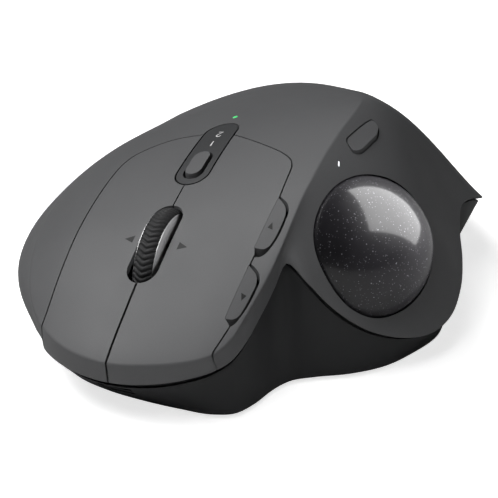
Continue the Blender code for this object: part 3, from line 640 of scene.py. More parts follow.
def plastic(name, colour, rough_low, rough_high, grain_scale=5200.0, strength=0.25, level=0.4):
    material, tree, shader = new_material(name)
    use = tree.nodes.new("ShaderNodeGroup")
    use.node_tree = grain
    tree.links.new(object_coords(tree), use.inputs["Vector"])
    use.inputs["Colour"].default_value = (*colour, 1)
    use.inputs["Grain Scale"].default_value = grain_scale
    use.inputs["Roughness Low"].default_value = rough_low
    use.inputs["Roughness High"].default_value = rough_high
    tree.links.new(use.outputs["Colour"], shader.inputs["Base Color"])
    tree.links.new(use.outputs["Roughness"], shader.inputs["Roughness"])
    shader.inputs["Specular IOR Level"].default_value = level
    bump(tree, shader, use.outputs["Height"], strength, GRAIN_HEIGHT)
    return material


SHELL = plastic("graphite_shell", (0.100, 0.101, 0.104), 0.50, 0.60)
KEYS = plastic("graphite_keys", (0.108, 0.109, 0.112), 0.48, 0.58)
BEZEL = plastic("graphite_bezel", (0.046, 0.047, 0.049), 0.45, 0.55)
CASING = plastic("black_casing", (0.026, 0.0265, 0.028), 0.45, 0.55, 4200.0, 0.3)
# black plastic, also used as painted shade on the wheel's frames and in the ball's opening
BLACK_AND_SHADE = plastic("black_plastic", (0.012, 0.012, 0.013), 0.5, 0.65, 3000.0)
MARK = plastic("printed_grey", (0.008, 0.008, 0.0085), 0.5, 0.6)
print("plastics:", [m.name for m in (SHELL, KEYS, BEZEL, CASING, BLACK_AND_SHADE, MARK)])

# %% [markdown]
# ## The palm shell
#
# The palm shell carries the hand. It is the whole skin, less the fields of the two keys, the notches of
# the side keys, the bezel, the precision key, two light holes and the round opening for the ball. The
# gaps are a third of a millimetre, and wider on the outer side of the side keys, where a thumb feels them.

# %% Key outlines seen from above, as (x, y, reach of the bend)
SPLIT, WIDE_SPLIT = 0.15, 0.26
SEAM_GAP, TAB_SEAM, BEZEL_GAP, FIT = 0.32, 0.06, 0.42, 0.28
WIDE = 40.0  # a bend that takes up the whole side
FORWARD_EDGE, BACK_EDGE = ((22.6, -22.2), (23.7, -10.6)), ((21.9, -37.6), (22.8, -25.9))
RIGHT_KEY = rounded([
    (-WIDE_SPLIT, -60, 0), (-WIDE_SPLIT, -36, 1), (-SPLIT, -14, 1), (-SPLIT, 11.5, 0.2),
    (-3.7, 11.6, WIDE), (-11.4, 11.4, WIDE), (-17.6, 6.9, 4.0), (-19.8, 3, 5.0), (-20.5, -4, WIDE),
    (-20.6, -19.3, WIDE), (-19.9, -30, WIDE), (-19.4, -40, WIDE), (-19.3, -60, 0),
])
LEFT_KEY = rounded([
    (WIDE_SPLIT, -60, 0), (21.7, -60, 0), (21.7, -44, 0.3), (23.3, -38.4, 0.3), (*BACK_EDGE[0], 0.2),
    (*BACK_EDGE[1], 0.2), (23.1, -23.4, 0.2), (*FORWARD_EDGE[0], 0.2), (*FORWARD_EDGE[1], 0.2),
    (23.4, -1.0, 2.2),
    (20.5, 1.6, 3.0), (9.6, 7.2, WIDE), (3.6, 10.4, 0.2), (SPLIT, 10.4, 0.2),
    (SPLIT, -14, 1), (WIDE_SPLIT, -36, 1),
])
FORWARD_TAB = rounded([
    (*FORWARD_EDGE[0], 0.1), (25.2, -21.6, 2.2), (26.3, -18.5, 2.5), (26.7, -12.4, 2.4),
    (*FORWARD_EDGE[1], 0.1),
])
BACK_TAB = rounded([
    (*BACK_EDGE[0], 0.1), (24.3, -36.6, 2.2), (25.1, -33.5, 2.5), (25.8, -27.2, 2.4),
    (*BACK_EDGE[1], 0.1),
])
# the shell's notches leave the side keys' front ends free
FORWARD_NOTCH = rounded([
    (22.4, -24.2, 0.1), (25.2, -23.6, 2.0), (27.1, -18.9, 2.5), (27.4, -12.2, 2.4), (23.5, -9.9, 0.1),
])
BACK_NOTCH = rounded([
    (21.8, -39.0, 0.1), (24.1, -38.5, 1.8), (25.9, -33.7, 2.5), (26.5, -27.0, 2.4), (22.6, -25.2, 0.1),
])
PRECISION = rounded([
    (34.9, 7.0, 1.0), (36.2, 8.4, 1.0), (37.7, 15.1, 1.2), (37.0, 17.6, 1.0), (35.2, 18.5, 0.8),
    (32.5, 8.5, 1.0),
])
PILL = stadium(0.4, -8.1, 16.0, 3.9)
OVAL_HOLE = stadium(0.4, -6.4, 3.4, 2.5)
OVAL = stadium(0.1, -5.1, 3.2, 1.95)
WHEEL_SLOT, SLOT_UNDERCUT = stadium(0.0, -35.3, -14.9, 3.7), stadium(0.0, -35.3, -12.3, 3.7)
GREEN_LIGHT = arc((0.9, 19.7), 0.6, 0, 345, 23)
WHITE_LIGHT = [(33.25, 1.8), (33.4, 1.95), (33.05, 2.8), (32.85, 2.78), (32.8, 2.65), (33.1, 1.78)]
BALL, BALL_R = Vector((39.0, 0.0, 25.0)), 17.0
BALL_OUT = Vector((0.793, -0.363, 0.482)).normalized()
BALL_GAP, LIGHT_FIT = 0.35, 0.04
# how far down a cutter reaches, so that it stays clear of the skin on the far side
SIDE_KEY_LOW, TAB_LOW, MARK_LOW, BEZEL_LOW, LIGHT_LOW = 12.0, 21.5, 21.0, 30.0, 36.0
print("outlines:", len(RIGHT_KEY), len(LEFT_KEY), len(FORWARD_TAB), len(BACK_TAB), "points")

# %% Cut the palm shell
cuts = [("DIFFERENCE", prism(grown(RIGHT_KEY, SEAM_GAP))), ("DIFFERENCE", prism(grown(LEFT_KEY, SEAM_GAP)))]
cuts += [("DIFFERENCE", prism(notch, SIDE_KEY_LOW)) for notch in (FORWARD_NOTCH, BACK_NOTCH)]
cuts += [("DIFFERENCE", prism(grown(PILL, BEZEL_GAP))), ("DIFFERENCE", prism(grown(PRECISION, FIT)))]
cuts += [("DIFFERENCE", prism(grown(light, LIGHT_FIT), LIGHT_LOW)) for light in (GREEN_LIGHT, WHITE_LIGHT)]
room = bmesh.new()
bmesh.ops.create_uvsphere(
    room, u_segments=192, v_segments=96, radius=BALL_R + BALL_GAP, matrix=Matrix.Translation(BALL)
)
cuts.append(("DIFFERENCE", room))
piece("palm_shell_skin", carved(SKIN, cuts), SHELL, "body", "shell", "palm_shell", on_skin=True)

# %% [markdown]
# ## The keys
#
# Left and right key are two more cuts of the skin. Each one carries its share of the front lip, which
# hangs over the casing so that the lip goes down with the key. The wheel's slot is shared by both. It is
# longer underneath than on top, where the wheel is wider, so a thin lip of skin closes over its rear end.

# %% Left and right key
SLOT_LIP, SLOT_REACH = 0.7, 5.0
tab_cuts = [("DIFFERENCE", prism(grown(tab, TAB_SEAM), SIDE_KEY_LOW)) for tab in (FORWARD_TAB, BACK_TAB)]
UNDER_LIP = lifted(lambda angle: shell_section(angle, SLOT_LIP, SLOT_REACH), FEW_RIBS)
for name, outline, body, extra in (
    ("right_key_skin", RIGHT_KEY, "right_key", []),
    ("left_key_skin", LEFT_KEY, "left_key", tab_cuts),
):
    cuts = [("INTERSECT", prism(outline)), ("DIFFERENCE", prism(grown(PILL, BEZEL_GAP)))]
    undercut = carved(prism(SLOT_UNDERCUT), [("INTERSECT", UNDER_LIP)])
    cuts += [("DIFFERENCE", prism(WHEEL_SLOT)), ("DIFFERENCE", undercut)] + extra
    piece(name, carved(SKIN, cuts), KEYS, body, "keys", name.replace("key_skin", "button"), on_skin=True)

# %% [markdown]
# ## The side keys
#
# Forward and back are small tabs in the edge of the deck. They lean outwards a little, so that the
# thumb's side finds them, and that lean gives them a darker tone beside the key. The lean is a plain
# shear of the finished cut, away from its inner edge.

# %% Forward and back
TAB_LEAN = 0.2


def leaned(shape, inner_edge, lean=TAB_LEAN):
    """Each point sinks with its distance from the line between two inner corners."""
    (x0, y0), (x1, y1) = inner_edge
    for vert in shape.verts:
        edge_x = x0 + (x1 - x0) * (vert.co.y - y0) / (y1 - y0)
        vert.co.z -= lean * max(0.0, vert.co.x - edge_x)
    return shape


for side, tab, edge in (("forward", FORWARD_TAB, FORWARD_EDGE), ("back", BACK_TAB, BACK_EDGE)):
    shape = leaned(carved(SKIN, [("INTERSECT", prism(tab, TAB_LOW))]), edge)
    piece(side + "_key_skin", shape, KEYS, side + "_key", "keys", side + "_button")

# %% [markdown]
# ## Bezel, device key and precision key
#
# The long bezel on the centre line is a separate insert with a thin dark line round it. The oval device
# key sits in it with a wide moat, so that it can't be pressed by accident. The precision key lies in the
# thumb panel beside the ball.

# %% Centre bezel and small keys
DEVICE_PROUD = 0.35
PRECISION_EDGE, PRECISION_LEAN = ((33.3, 8.5), (35.2, 18.5)), -0.3
moat = [("INTERSECT", prism(PILL)), ("DIFFERENCE", prism(OVAL_HOLE))]
piece("bezel_skin", carved(SKIN, moat), BEZEL, "body", "shell", "button_bezel", on_skin=True)
device = carved(SKIN, [("INTERSECT", prism(OVAL))])
for vert in device.verts:
    vert.co.z += DEVICE_PROUD
piece("device_key_skin", device, KEYS, "device_key", "keys", "device_button")
precision = carved(SKIN, [("INTERSECT", prism(PRECISION))])
leaned(precision, PRECISION_EDGE, PRECISION_LEAN)
piece("precision_key_skin", precision, KEYS, "precision_key", "keys", "precision_button")

# %% [markdown]
# ## Printed marks and lights
#
# The pad printing is a few hundredths of a millimetre thick: small triangles beside the wheel and on the
# side keys, and the channel digits on the bezel. Each mark is cut from a thin skin of its own that stands
# just proud of the shell, so that it follows the curve under it.

# %% Marks
PRINT_PROUD, PRINT_ROOT = 0.03, 0.25
THIN_SKIN = lifted(lambda angle: shell_section(angle, -PRINT_PROUD, PRINT_ROOT))


def triangle(x, y, size, turn):
    """A small pointer. It points along +X before it is turned, in degrees."""
    corners = [(size, 0), (-size * 0.7, size * 0.75), (-size * 0.7, -size * 0.75)]
    c, s = math.cos(math.radians(turn)), math.sin(math.radians(turn))
    return [(x + c * u - s * v, y + s * u + c * v) for u, v in corners]


def stroke(points, width):
    """A bar of even width along a line of points, anticlockwise."""
    left, right = [], []
    for i, here in enumerate(points):
        before, after = points[max(0, i - 1)], points[min(len(points) - 1, i + 1)]
        run = (Vector(after) - Vector(before)).normalized() * width / 2
        left.append((here[0] - run.y, here[1] + run.x))
        right.append((here[0] + run.y, here[1] - run.x))
    return right + left[::-1]


def mark(name, outline, finish, body, slot, low=MARK_LOW, on_tab=None):
    """A printed mark. One on a side key leans as the key does, away from the edge given."""
    shape = carved(THIN_SKIN, [("INTERSECT", prism(outline, low))])
    if on_tab:
        leaned(shape, on_tab)
    piece(name, shape, finish, body, slot)


mark("tilt_arrow_right", triangle(-6.2, -24.8, 1.25, 180), MARK, "right_key", "keys")
mark("tilt_arrow_left", triangle(6.6, -25.4, 1.25, 0), MARK, "left_key", "keys")
forward, back = triangle(24.4, -16.9, 0.8, 88), triangle(23.9, -32.2, 0.8, 268)
mark("forward_arrow", forward, MARK, "forward_key", "keys", on_tab=FORWARD_EDGE)
mark("back_arrow", back, MARK, "back_key", "keys", on_tab=BACK_EDGE)

# %% Channel digits
WHITE_PRINT = plastic("printed_white", (0.75, 0.75, 0.75), 0.5, 0.6)
one = stroke([(0.35, 7.9), (0.35, 5.9)], 0.27)
bowl = [(0.55 - u, 10.95 - v) for u, v in arc((0, 0.45), 0.55, 170, -40, 8)]
two = stroke(bowl + [(1.1, 12.0), (0.0, 12.05)], 0.25)
mark("digit_one", one, WHITE_PRINT, "body", "shell", BEZEL_LOW)
mark("digit_two", two, WHITE_PRINT, "body", "shell", BEZEL_LOW)

# %% Light guides
PALER = 0.2


def light_guide(name, outline, colour, power, node, slot):
    """A clear rod end, lit from below, that stands just proud of the shell."""
    material, tree, shader = new_material(name + "_lens")
    spread = noise(tree, object_coords(tree), 1500.0, 1.0)
    pale = tuple(c + PALER * (1 - c) for c in colour)
    glow = mix_colour(tree, varied(tree, spread, 0.0, 1.0), (*colour, 1), (*pale, 1))
    tree.links.new(glow, shader.inputs["Emission Color"])
    tree.links.new(glow, shader.inputs["Base Color"])
    shader.inputs["Emission Strength"].default_value = power
    shader.inputs["Roughness"].default_value = 0.15
    shape = carved(THIN_SKIN, [("INTERSECT", prism(outline, LIGHT_LOW))])
    piece(name, shape, material, "body", slot, node)


light_guide("green_light_guide", GREEN_LIGHT, (0.01, 0.55, 0.12), 0.45, "connection_light", "green_light")
light_guide("white_light_guide", WHITE_LIGHT, (0.9, 0.92, 0.95), 0.9, "precision_light", "white_light")

# %% [markdown]
# ## The ball and its opening
#
# The ball is cast polyester with pearl flakes in a dark tint, ground and polished. The flakes lie in
# random directions under the clear surface, so only some of them catch the light. A Voronoi texture gives
# every flake its own cell, a random number for each cell picks the few that shine, and a clear coat on top
# gives the sharp softbox reflection. A black collar lines the opening down to the cup, as painted shade in
# the gap round the ball.

# %% Pearl flakes
def flake_mask(tree, coords, cells, keep):
    """Soft dots of uneven brightness, one in each cell that is kept."""
    cell = tree.nodes.new("ShaderNodeTexVoronoi")
    cell.inputs["Scale"].default_value = cells
    tree.links.new(coords, cell.inputs["Vector"])
    pick = tree.nodes.new("ShaderNodeSeparateColor")
    tree.links.new(cell.outputs["Color"], pick.inputs["Color"])
    chosen = math_node(tree, "GREATER_THAN", pick.outputs["Red"], 1.0 - keep)
    dot = map_range(tree, cell.outputs["Distance"], 0.12, 0.34, 1.0, 0.0)
    shine = map_range(tree, pick.outputs["Green"], 0.0, 1.0, 0.25, 1.0)
    return math_node(tree, "MULTIPLY", math_node(tree, "MULTIPLY", chosen, dot), shine)


pearl, tree, shader = new_material("pearl_ball")
coords = object_coords(tree)
coarse, small = flake_mask(tree, coords, 1900.0, 0.09), flake_mask(tree, coords, 3100.0, 0.16)
flakes = math_node(tree, "MAXIMUM", coarse, small)
drift = noise(tree, coords, 110.0, 3.0)
DARK_TINT, PALE_TINT, FLAKE = (0.014, 0.013, 0.016, 1), (0.024, 0.022, 0.027, 1), (0.50, 0.49, 0.54, 1)
base = mix_colour(tree, varied(tree, drift, 0.0, 1.0), DARK_TINT, PALE_TINT)
tree.links.new(mix_colour(tree, flakes, base, FLAKE), shader.inputs["Base Color"])
tree.links.new(map_range(tree, flakes, 0.0, 1.0, 0.0, 0.75), shader.inputs["Metallic"])
tree.links.new(varied(tree, drift, 0.40, 0.48), shader.inputs["Roughness"])
shader.inputs["Coat Weight"].default_value = 1.0
shader.inputs["Coat Roughness"].default_value = 0.12

globe = bmesh.new()
at_ball = Matrix.Translation(BALL)
bmesh.ops.create_uvsphere(globe, u_segments=128, v_segments=64, radius=BALL_R, matrix=at_ball)
TRACKBALL = piece("pearl_trackball", globe, pearl, "ball", "ball", "trackball", sharp=180)

# %% Collar in the opening
# the collar is painted shade: a black lining for the dark gap round the ball
COLLAR_IN, COLLAR_OUT = 17.5, 18.7
COLLAR_TOP, COLLAR_FOOT = 0.7, 7.0
core = lifted(lambda angle: shell_section(angle, COLLAR_TOP, COLLAR_FOOT), FEW_RIBS)
profile = arc((0, 0), COLLAR_OUT, 2, 32, 8) + arc((0, 0), COLLAR_IN, 32, 2, 8)
collar = ring(profile, BALL, BALL_OUT, 128)
piece("ball_opening_shade_collar", carved(collar, [("INTERSECT", core)]), BLACK_AND_SHADE, "body", "black")

# %% [markdown]
# ## The black casing
#
# The casing is the tub that everything sits in. Its wall leans out from the flat foot to the seam, and
# its top edge stands a little inside the shell's, which leaves the dark line round the mouse. A tongue on
# the inside laps up behind the shell and shuts the gap. Underneath, the foot is recessed for the plate.

# %% Casing section
LAP_GAP, TONGUE = 0.35, 0.9
WALL_SHARES = (0.25, 0.5, 0.75, 0.93)


def casing_section(angle):
    """From the middle of the underside round the wall's outside, over the tongue and back inside."""
    seam, seam_z = through(SEAM_RING, angle)
    foot = through(FOOT_RING, angle)[0]
    step_in, step_down = through(LAP_RING, angle)
    top, top_z = seam - step_in, seam_z - step_down
    lean = math.atan2(top_z - CASING_Z, top - foot)
    thick = WALL / math.sin(lean)
    wall = [(foot + (top - foot) * t, CASING_Z + (top_z - CASING_Z) * t) for t in WALL_SHARES]
    run, rise = math.cos(lean), math.sin(lean)
    corner = [(foot - 1.3, CASING_Z), (foot - 0.45, CASING_Z + 0.06)]
    corner += [(foot + 0.3 * run, CASING_Z + 0.3), (foot + 1.3 * run, CASING_Z + 1.3 * rise)]
    edge = [(top - 0.22 * run, top_z - 0.22 * rise), (top - 0.1, top_z - 0.03), (top - 0.3, top_z)]
    lap_low, lap_high = shell_line(angle, WALL + LAP_GAP, 2, 12, INNER_EDGE)[-1:-3:-1]
    lap_in = min(lap_low[0], top - 0.5)
    tongue = [(lap_in, top_z), (lap_high[0], lap_high[1])]
    tongue += [(lap_high[0] - TONGUE, lap_high[1]), (lap_in - TONGUE, top_z - 0.2)]
    share = min(0.9, (FLOOR_Z - CASING_Z) / (top_z - CASING_Z))
    inner_foot = min(foot + (top - foot) * share - thick, lap_in - 1.0)
    return [(0, CASING_Z)] + corner + wall + edge + tongue + [(inner_foot, FLOOR_Z), (0, FLOOR_Z)]


def foot_outline(inset, edge_x):
    """The foot's outline moved in by inset and cut straight at edge_x."""
    points = []
    for j in range(FEW_RIBS):
        angle = 360.0 / FEW_RIBS * j
        x, y = plan(angle, through(FOOT_RING, angle)[0] - inset)
        points.append((max(x, edge_x), y))
    return points


print(len(casing_section(0)), "points in each section of the casing")

# %% [markdown]
# The tub's openings are cut next: the recess for the plate, the hole that lets a finger push the ball out,
# the switch's slot, the socket's window and the screw holes. The plate's hinge lugs are added to it.

# %% Openings and hinge lugs
PLATE_X, PLATE_INSET, PLATE_FIT = -17.0, 1.2, 0.4
PIN_R, LUG_R, EJECT_R = 0.9, 1.3, 4.0
SCREW_HEAD_R, SCREW_R = 2.6, 1.4
HINGE_X, HINGE_Z = -18.6, 1.7
HINGE_SPANS = [(-18.0, -8.0), (24.0, 34.0)]
SWITCH_AT, SWITCH_TRAVEL = (8.0, -26.0), 2.5
SCREWS = [(-12, 20), (31, 27), (-12, 48), (33, 50)]
sx, sy = SWITCH_AT
cuts = [
    ("DIFFERENCE", prism(foot_outline(PLATE_INSET - PLATE_FIT, PLATE_X - PLATE_FIT), -1, RECESS_Z)),
    ("DIFFERENCE", block((HINGE_X - 1.9, HINGE_X + 3), (-24, 41), (-1, RECESS_Z))),
    ("DIFFERENCE", rod((BALL.x, BALL.y, -1), (BALL.x, BALL.y, 8), EJECT_R)),
    ("DIFFERENCE", block((sx - 1.3, sx + 1.3 + SWITCH_TRAVEL), (sy - 1.1, sy + 1.1), (-1, 8))),
    ("DIFFERENCE", block((-4.1, 4.1), (-55, -43), (FLOOR_Z + 0.1, 8.2))),
]
for x, y in SCREWS:
    cuts.append(("DIFFERENCE", rod((x, y, 0), (x, y, 4.4), SCREW_HEAD_R)))
    cuts.append(("DIFFERENCE", rod((x, y, 0), (x, y, 8), SCREW_R)))
for low, high in HINGE_SPANS:
    for start, end in ((low - 3.9, low - 0.3), (high + 0.3, high + 3.9)):
        pin = rod((HINGE_X, start - 1, HINGE_Z), (HINGE_X, end + 1, HINGE_Z), PIN_R, 24)
        lug = block((HINGE_X - LUG_R, HINGE_X + LUG_R), (start, end), (CASING_Z, RECESS_Z + 0.5))
        cuts.append(("UNION", carved(lug, [("DIFFERENCE", pin)])))
piece("casing_shell", carved(lifted(casing_section), cuts), CASING, "body", "casing", "base_casing", sharp=28)

# %% [markdown]
# ## The wheel
#
# A rubber tyre on a metal hub. The tread is a row of chevrons, which is easier to make by moving points
# than by cutting: a rounded band is spun with ten steps for every rib, and each point sinks if it lies in
# a groove. The grooves lean the opposite way on either side of the middle, so they meet in a V.

# %% Ribbed tyre
WHEEL, WHEEL_R, TYRE_HALF = Vector((0.0, -21.1, 24.2)), 12.5, 2.2
GROOVES, GROOVE_DEPTH, CHEVRON = 58, 0.42, 0.85
TYRE_BORE, CROWN, ACROSS_STEPS = 11.05, 0.8, 16
HALF_GROOVE, GROOVE_WALL = 0.24, 2.0  # in parts of a rib, and how steep a groove's sides are
band = [(TYRE_BORE, -TYRE_HALF)]
for i in range(ACROSS_STEPS + 1):
    across = -TYRE_HALF + 2 * TYRE_HALF * i / ACROSS_STEPS
    band.append((WHEEL_R - CROWN * abs(across / TYRE_HALF) ** 3.0, across))
band.append((TYRE_BORE, TYRE_HALF))
tyre = ring(band, (0, 0, 0), (0, 0, 1), GROOVES * 10)
for vert in tyre.verts:
    radius = vert.co.xy.length
    if radius < TYRE_BORE + 0.15:
        continue
    angle = math.degrees(math.atan2(vert.co.y, vert.co.x))
    phase = (angle * GROOVES / 360.0 + CHEVRON * abs(vert.co.z) / TYRE_HALF) % 1.0
    groove = max(0.0, 1.0 - abs(phase - 0.5) / HALF_GROOVE)
    depth = GROOVE_DEPTH * min(1.0, groove * GROOVE_WALL)
    vert.co.xy *= (radius - depth) / radius
place = Matrix.Translation(WHEEL) @ Matrix.Rotation(math.pi / 2, 4, "Y")
bmesh.ops.transform(tyre, matrix=place, verts=tyre.verts[:])
bmesh.ops.recalc_face_normals(tyre, faces=tyre.faces[:])
RUBBER = plastic("tyre_rubber", (0.030, 0.030, 0.031), 0.55, 0.68, 4200.0, 0.35, 0.35)
piece("chevron_tyre", tyre, RUBBER, "wheel", "rubber", "wheel_tyre", sharp=55)

# %% [markdown]
# ## Metal
#
# The hub is turned metal with a satin face, and lathe lines run round it. They are rings about the
# wheel's axle, so the roughness comes from the distance to the axle, read from Object coordinates after a
# Mapping node has moved the origin there.

# %% Turned hub
DULL, ALONG_AXIS = 0.8, 0.02


def turned_metal(name, colour, centre, low, high):
    """Fine rings round an X axis through centre, in metres."""
    material, tree, shader = new_material(name)
    shift = tree.nodes.new("ShaderNodeMapping")
    shift.inputs["Location"].default_value = [-c for c in centre]
    shift.inputs["Scale"].default_value = (ALONG_AXIS, 1, 1)
    tree.links.new(object_coords(tree), shift.inputs["Vector"])
    length = tree.nodes.new("ShaderNodeVectorMath")
    length.operation = "LENGTH"
    tree.links.new(shift.outputs["Vector"], length.inputs[0])
    lines = tree.nodes.new("ShaderNodeTexNoise")
    lines.noise_dimensions = "1D"
    lines.inputs["Scale"].default_value = 5000.0
    tree.links.new(length.outputs["Value"], lines.inputs["W"])
    stain = noise(tree, object_coords(tree), 160.0, 3.0)
    dull = tuple(DULL * c for c in colour)
    stained = mix_colour(tree, varied(tree, stain, 0, 1), (*colour, 1), (*dull, 1))
    tree.links.new(stained, shader.inputs["Base Color"])
    shader.inputs["Metallic"].default_value = 1.0
    tree.links.new(varied(tree, lines.outputs["Fac"], low, high), shader.inputs["Roughness"])
    bump(tree, shader, lines.outputs["Fac"], 0.15, 0.00002)
    return material


HUB_METAL = turned_metal("turned_hub", (0.85, 0.85, 0.86), WHEEL * MM, 0.34, 0.46)
STEEL = turned_metal("satin_steel", (0.55, 0.56, 0.58), (0, 0, 0), 0.32, 0.48)
# one half of the hub as (radius, distance from the middle): boss, dished web, bevelled rim and its lip
side = [
    (1.3, 2.6), (3.2, 2.6), (3.4, 2.2), (7.4, 2.2), (7.7, 2.6), (9.9, 2.6), (11.6, 2.3), (11.6, 2.24),
    (10.9, 2.24),
]
hub_profile = [(r, -h) for r, h in side] + [(r, h) for r, h in side[::-1]]
hub = ring(hub_profile, WHEEL, (1, 0, 0), 128)
WHEEL_HUB = piece("turned_wheel_hub", hub, HUB_METAL, "wheel", "steel", "wheel_hub", sharp=25)

# %% [markdown]
# ## The tilt plate and its pad
#
# Underneath, a steel plate is held by magnets and turns on two short pins, so the mouse lies flat or
# leans by twenty degrees. A rubber pad covers its underside, with openings for the switch and for the hole
# that lets the ball be pushed out. The plate's barrels are joined to it and bored for the pins.

# %% Plate and pad
PLATE_LOW, PLATE_HIGH, PAD_HIGH, WINDOW = 0.9, 2.4, 0.6, 3.3
window_x = (sx - WINDOW, sx + WINDOW + SWITCH_TRAVEL)
window = ("DIFFERENCE", block(window_x, (sy - WINDOW, sy + WINDOW), (-1, 4)))
eject = ("DIFFERENCE", rod((BALL.x, BALL.y, -1), (BALL.x, BALL.y, 4), EJECT_R, 64))
cuts = []
for low, high in HINGE_SPANS:
    cuts.append(("UNION", block((HINGE_X, PLATE_X + 1), (low, high), (PLATE_LOW, PLATE_HIGH))))
    cuts.append(("UNION", rod((HINGE_X, low, HINGE_Z), (HINGE_X, high, HINGE_Z), LUG_R, 32)))
for low, high in HINGE_SPANS:
    bore = rod((HINGE_X, low - 1, HINGE_Z), (HINGE_X, high + 1, HINGE_Z), PIN_R, 32)
    cuts.append(("DIFFERENCE", bore))
plate = prism(foot_outline(PLATE_INSET, PLATE_X), PLATE_LOW, PLATE_HIGH)
plate = carved(plate, cuts + [window, eject])
piece("steel_tilt_plate", plate, STEEL, "stand", "steel", "tilt_plate")
PAD = plastic("pad_rubber", (0.022, 0.022, 0.023), 0.75, 0.88, 1400.0, 0.6, 0.25)
pad = carved(prism(foot_outline(PLATE_INSET + 1, PLATE_X + 1), 0.0, PAD_HIGH), [window, eject])
piece("rubber_pad", pad, PAD, "stand", "rubber", "plate_pad")

# %% [markdown]
# ## Finishes for the parts kept from the frame
#
# The inner parts keep their modelled shape and only need a finish: black plastic for the switches, the same
# black on the wheel's frames as painted shade, since the slot over them shows only shade, green solder mask
# with copper tracks for the boards, a foil pouch for the battery, ground ceramic for the three bearing balls,
# and the socket's steel darkened as painted shade for the shade in its window under the front.

# %% Boards, battery, bearings
def circuit_board():
    material, tree, shader = new_material("green_board")
    coords = object_coords(tree)
    tracks = tree.nodes.new("ShaderNodeTexBrick")
    tracks.inputs["Scale"].default_value = 260.0
    tracks.inputs["Mortar Size"].default_value = 0.03
    tree.links.new(coords, tracks.inputs["Vector"])
    blend = mix_colour(tree, tracks.outputs["Fac"], (0.012, 0.10, 0.045, 1), (0.03, 0.19, 0.08, 1))
    tree.links.new(blend, shader.inputs["Base Color"])
    sheen = varied(tree, noise(tree, coords, 900.0), 0.3, 0.42)
    tree.links.new(sheen, shader.inputs["Roughness"])
    bump(tree, shader, tracks.outputs["Fac"], 0.3, 0.00003)
    return material


BOARD = circuit_board()
POUCH = plastic("battery_pouch", (0.30, 0.32, 0.36), 0.28, 0.42, 700.0, 0.4)
CERAMIC = plastic("bearing_ceramic", (0.80, 0.80, 0.77), 0.12, 0.2, 3000.0, 0.05, 0.6)
# the wheel's frames take the black as painted shade, and the socket's steel is darkened as painted shade
FINISH_OF = {
    "board": BOARD, "battery": POUCH, "bearing": CERAMIC, "steel": STEEL, "black": BLACK_AND_SHADE, "frame": BLACK_AND_SHADE,
    "usb_socket": turned_metal("painted_shade_socket", (0.05, 0.05, 0.052), (0, 0, 0), 0.35, 0.5),
}
SLOTS = {entry["node"]: entry["material_slot"] for entry in frame["record"]["subparts"]}
KEPT = [name for name, node in NODES.items() if not node.hide_render]
for name in KEPT:
    materials = NODES[name].data.materials
    materials.clear()
    materials.append(FINISH_OF.get(name) or FINISH_OF[SLOTS[name]])
print("finished", len(KEPT), "kept parts")

# %% [markdown]
# ## Floor, light and camera
#
# The mouse stands on white paper. The paper is lit until it is almost clean white to the camera, and it is
# grey to a mirror, so that the polished ball stays dark below. A broad softbox high on the left lights the
# deck and leaves the thumb panel in its own soft shade, and a small one close over the keys lifts the
# front. The ball and the metal of the wheel have lights of their own: a long panel that slopes down behind
# the thumb side draws the bright window on the ball. The lens is a long one, so the shape is hardly
# foreshortened.

# %% Floor
PAPER_DARK, PAPER_LIGHT = (0.90, 0.90, 0.90, 1), (0.93, 0.93, 0.93, 1)
TO_A_MIRROR, TO_THE_LENS = (0.38, 0.38, 0.38, 1), 0.8
paper, tree, shader = new_material("white_paper")
fibres = noise(tree, object_coords(tree), 240.0, 4.0)
rays = tree.nodes.new("ShaderNodeLightPath")
tone = mix_colour(tree, varied(tree, fibres, 0.0, 1.0), PAPER_DARK, PAPER_LIGHT)
seen = mix_colour(tree, rays.outputs["Is Glossy Ray"], tone, TO_A_MIRROR)
tree.links.new(seen, shader.inputs["Base Color"])
tree.links.new(tone, shader.inputs["Emission Color"])
glow = math_node(tree, "MULTIPLY", rays.outputs["Is Camera Ray"], TO_THE_LENS)
tree.links.new(glow, shader.inputs["Emission Strength"])
shader.inputs["Roughness"].default_value = 0.9
shader.inputs["Specular IOR Level"].default_value = 0.1
sheet = bmesh.new()
bmesh.ops.create_grid(sheet, x_segments=8, y_segments=8, size=6.0)
floor_data = bpy.data.meshes.new("paper_floor")
sheet.to_mesh(floor_data)
sheet.free()
floor_data.materials.append(paper)
floor = bpy.data.objects.new("paper_floor", floor_data)
bpy.context.scene.collection.objects.link(floor)
print("floor:", round(floor.dimensions.x), "m wide")

# %% Lights
SHINY = [TRACKBALL]


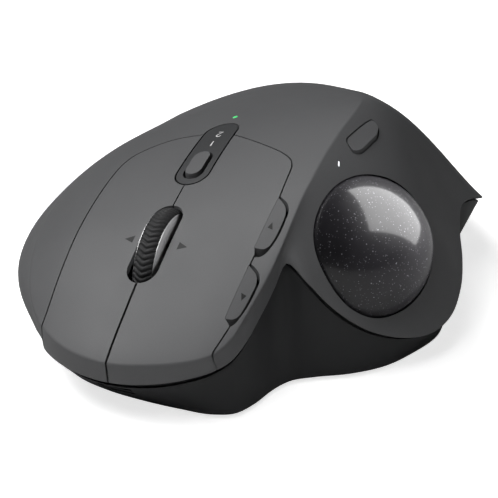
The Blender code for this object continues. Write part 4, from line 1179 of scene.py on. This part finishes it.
def softbox(name, place, aim, width, height, power, lights_up=()):
    """A rectangular light, for the named pieces only or, with none named, for all but the shiny ones."""
    light = bpy.data.lights.new(name, "AREA")
    light.shape = "RECTANGLE"
    light.size, light.size_y, light.energy = width, height, power
    made = bpy.data.objects.new(name, light)
    bpy.context.scene.collection.objects.link(made)
    made.location = place
    made.rotation_euler = (Vector(aim) - Vector(place)).to_track_quat("-Z", "Y").to_euler()
    group = bpy.data.collections.new(name + "_receivers")
    for shiny in lights_up or SHINY:
        group.objects.link(shiny)
    if not lights_up:
        for entry in group.collection_objects:
            entry.light_linking.link_state = "EXCLUDE"
    made.light_linking.receiver_collection = group


OVER_KEYS = (0.01, 0, 0.03)
softbox("key_box", (-0.6, 0, 0.8), OVER_KEYS, 0.6, 0.6, 5.4)
softbox("front_box", (-0.05, -0.12, 0.35), OVER_KEYS, 0.25, 0.25, 0.78)
softbox("thumb_box", (0.95, 0, 0.33), OVER_KEYS, 0.6, 0.6, 0.8)
softbox("ball_window", (0.706, 0.663, 0.34), (0.4725, 0.463, -0.612), 1.0, 1.87, 27.0, [TRACKBALL])
softbox("wheel_box", (0.36, 0.22, 0.26), (0, -0.02, 0.03), 0.3, 0.3, 5.0, [WHEEL_HUB])
print("lights:", [light.name for light in bpy.data.lights])

# %% World
FILL = 0.015
world = bpy.data.worlds.new("studio")
bpy.context.scene.world = world
world.use_nodes = True
sky = world.node_tree.nodes["Background"]
rays = world.node_tree.nodes.new("ShaderNodeLightPath")
sky.inputs["Color"].default_value = (1, 1, 1, 1)
strength = math_node(world.node_tree, "MAXIMUM", rays.outputs["Is Camera Ray"], FILL)
world.node_tree.links.new(strength, sky.inputs["Strength"])
bpy.context.scene.view_settings.view_transform = "Standard"
print("the world gives", FILL, "of its light to the mouse")

# %% Camera
CAMERA_AT, CAMERA_AIM = Vector((0.1945, -0.4509, 0.3000)), Vector((0.0161, -0.0093, 0.0250))
lens = bpy.data.cameras.new("camera")
lens.lens, lens.sensor_width = 175.7, 36.0
lens.clip_start = 0.01
camera = bpy.data.objects.new("camera", lens)
bpy.context.scene.collection.objects.link(camera)
camera.location = CAMERA_AT
camera.rotation_euler = (CAMERA_AIM - CAMERA_AT).to_track_quat("-Z", "Y").to_euler()
bpy.context.scene.camera = camera
print("camera", round((CAMERA_AIM - CAMERA_AT).length, 3), "m away")

# %% Remove the scrap collection
bpy.data.collections.remove(SCRAP)
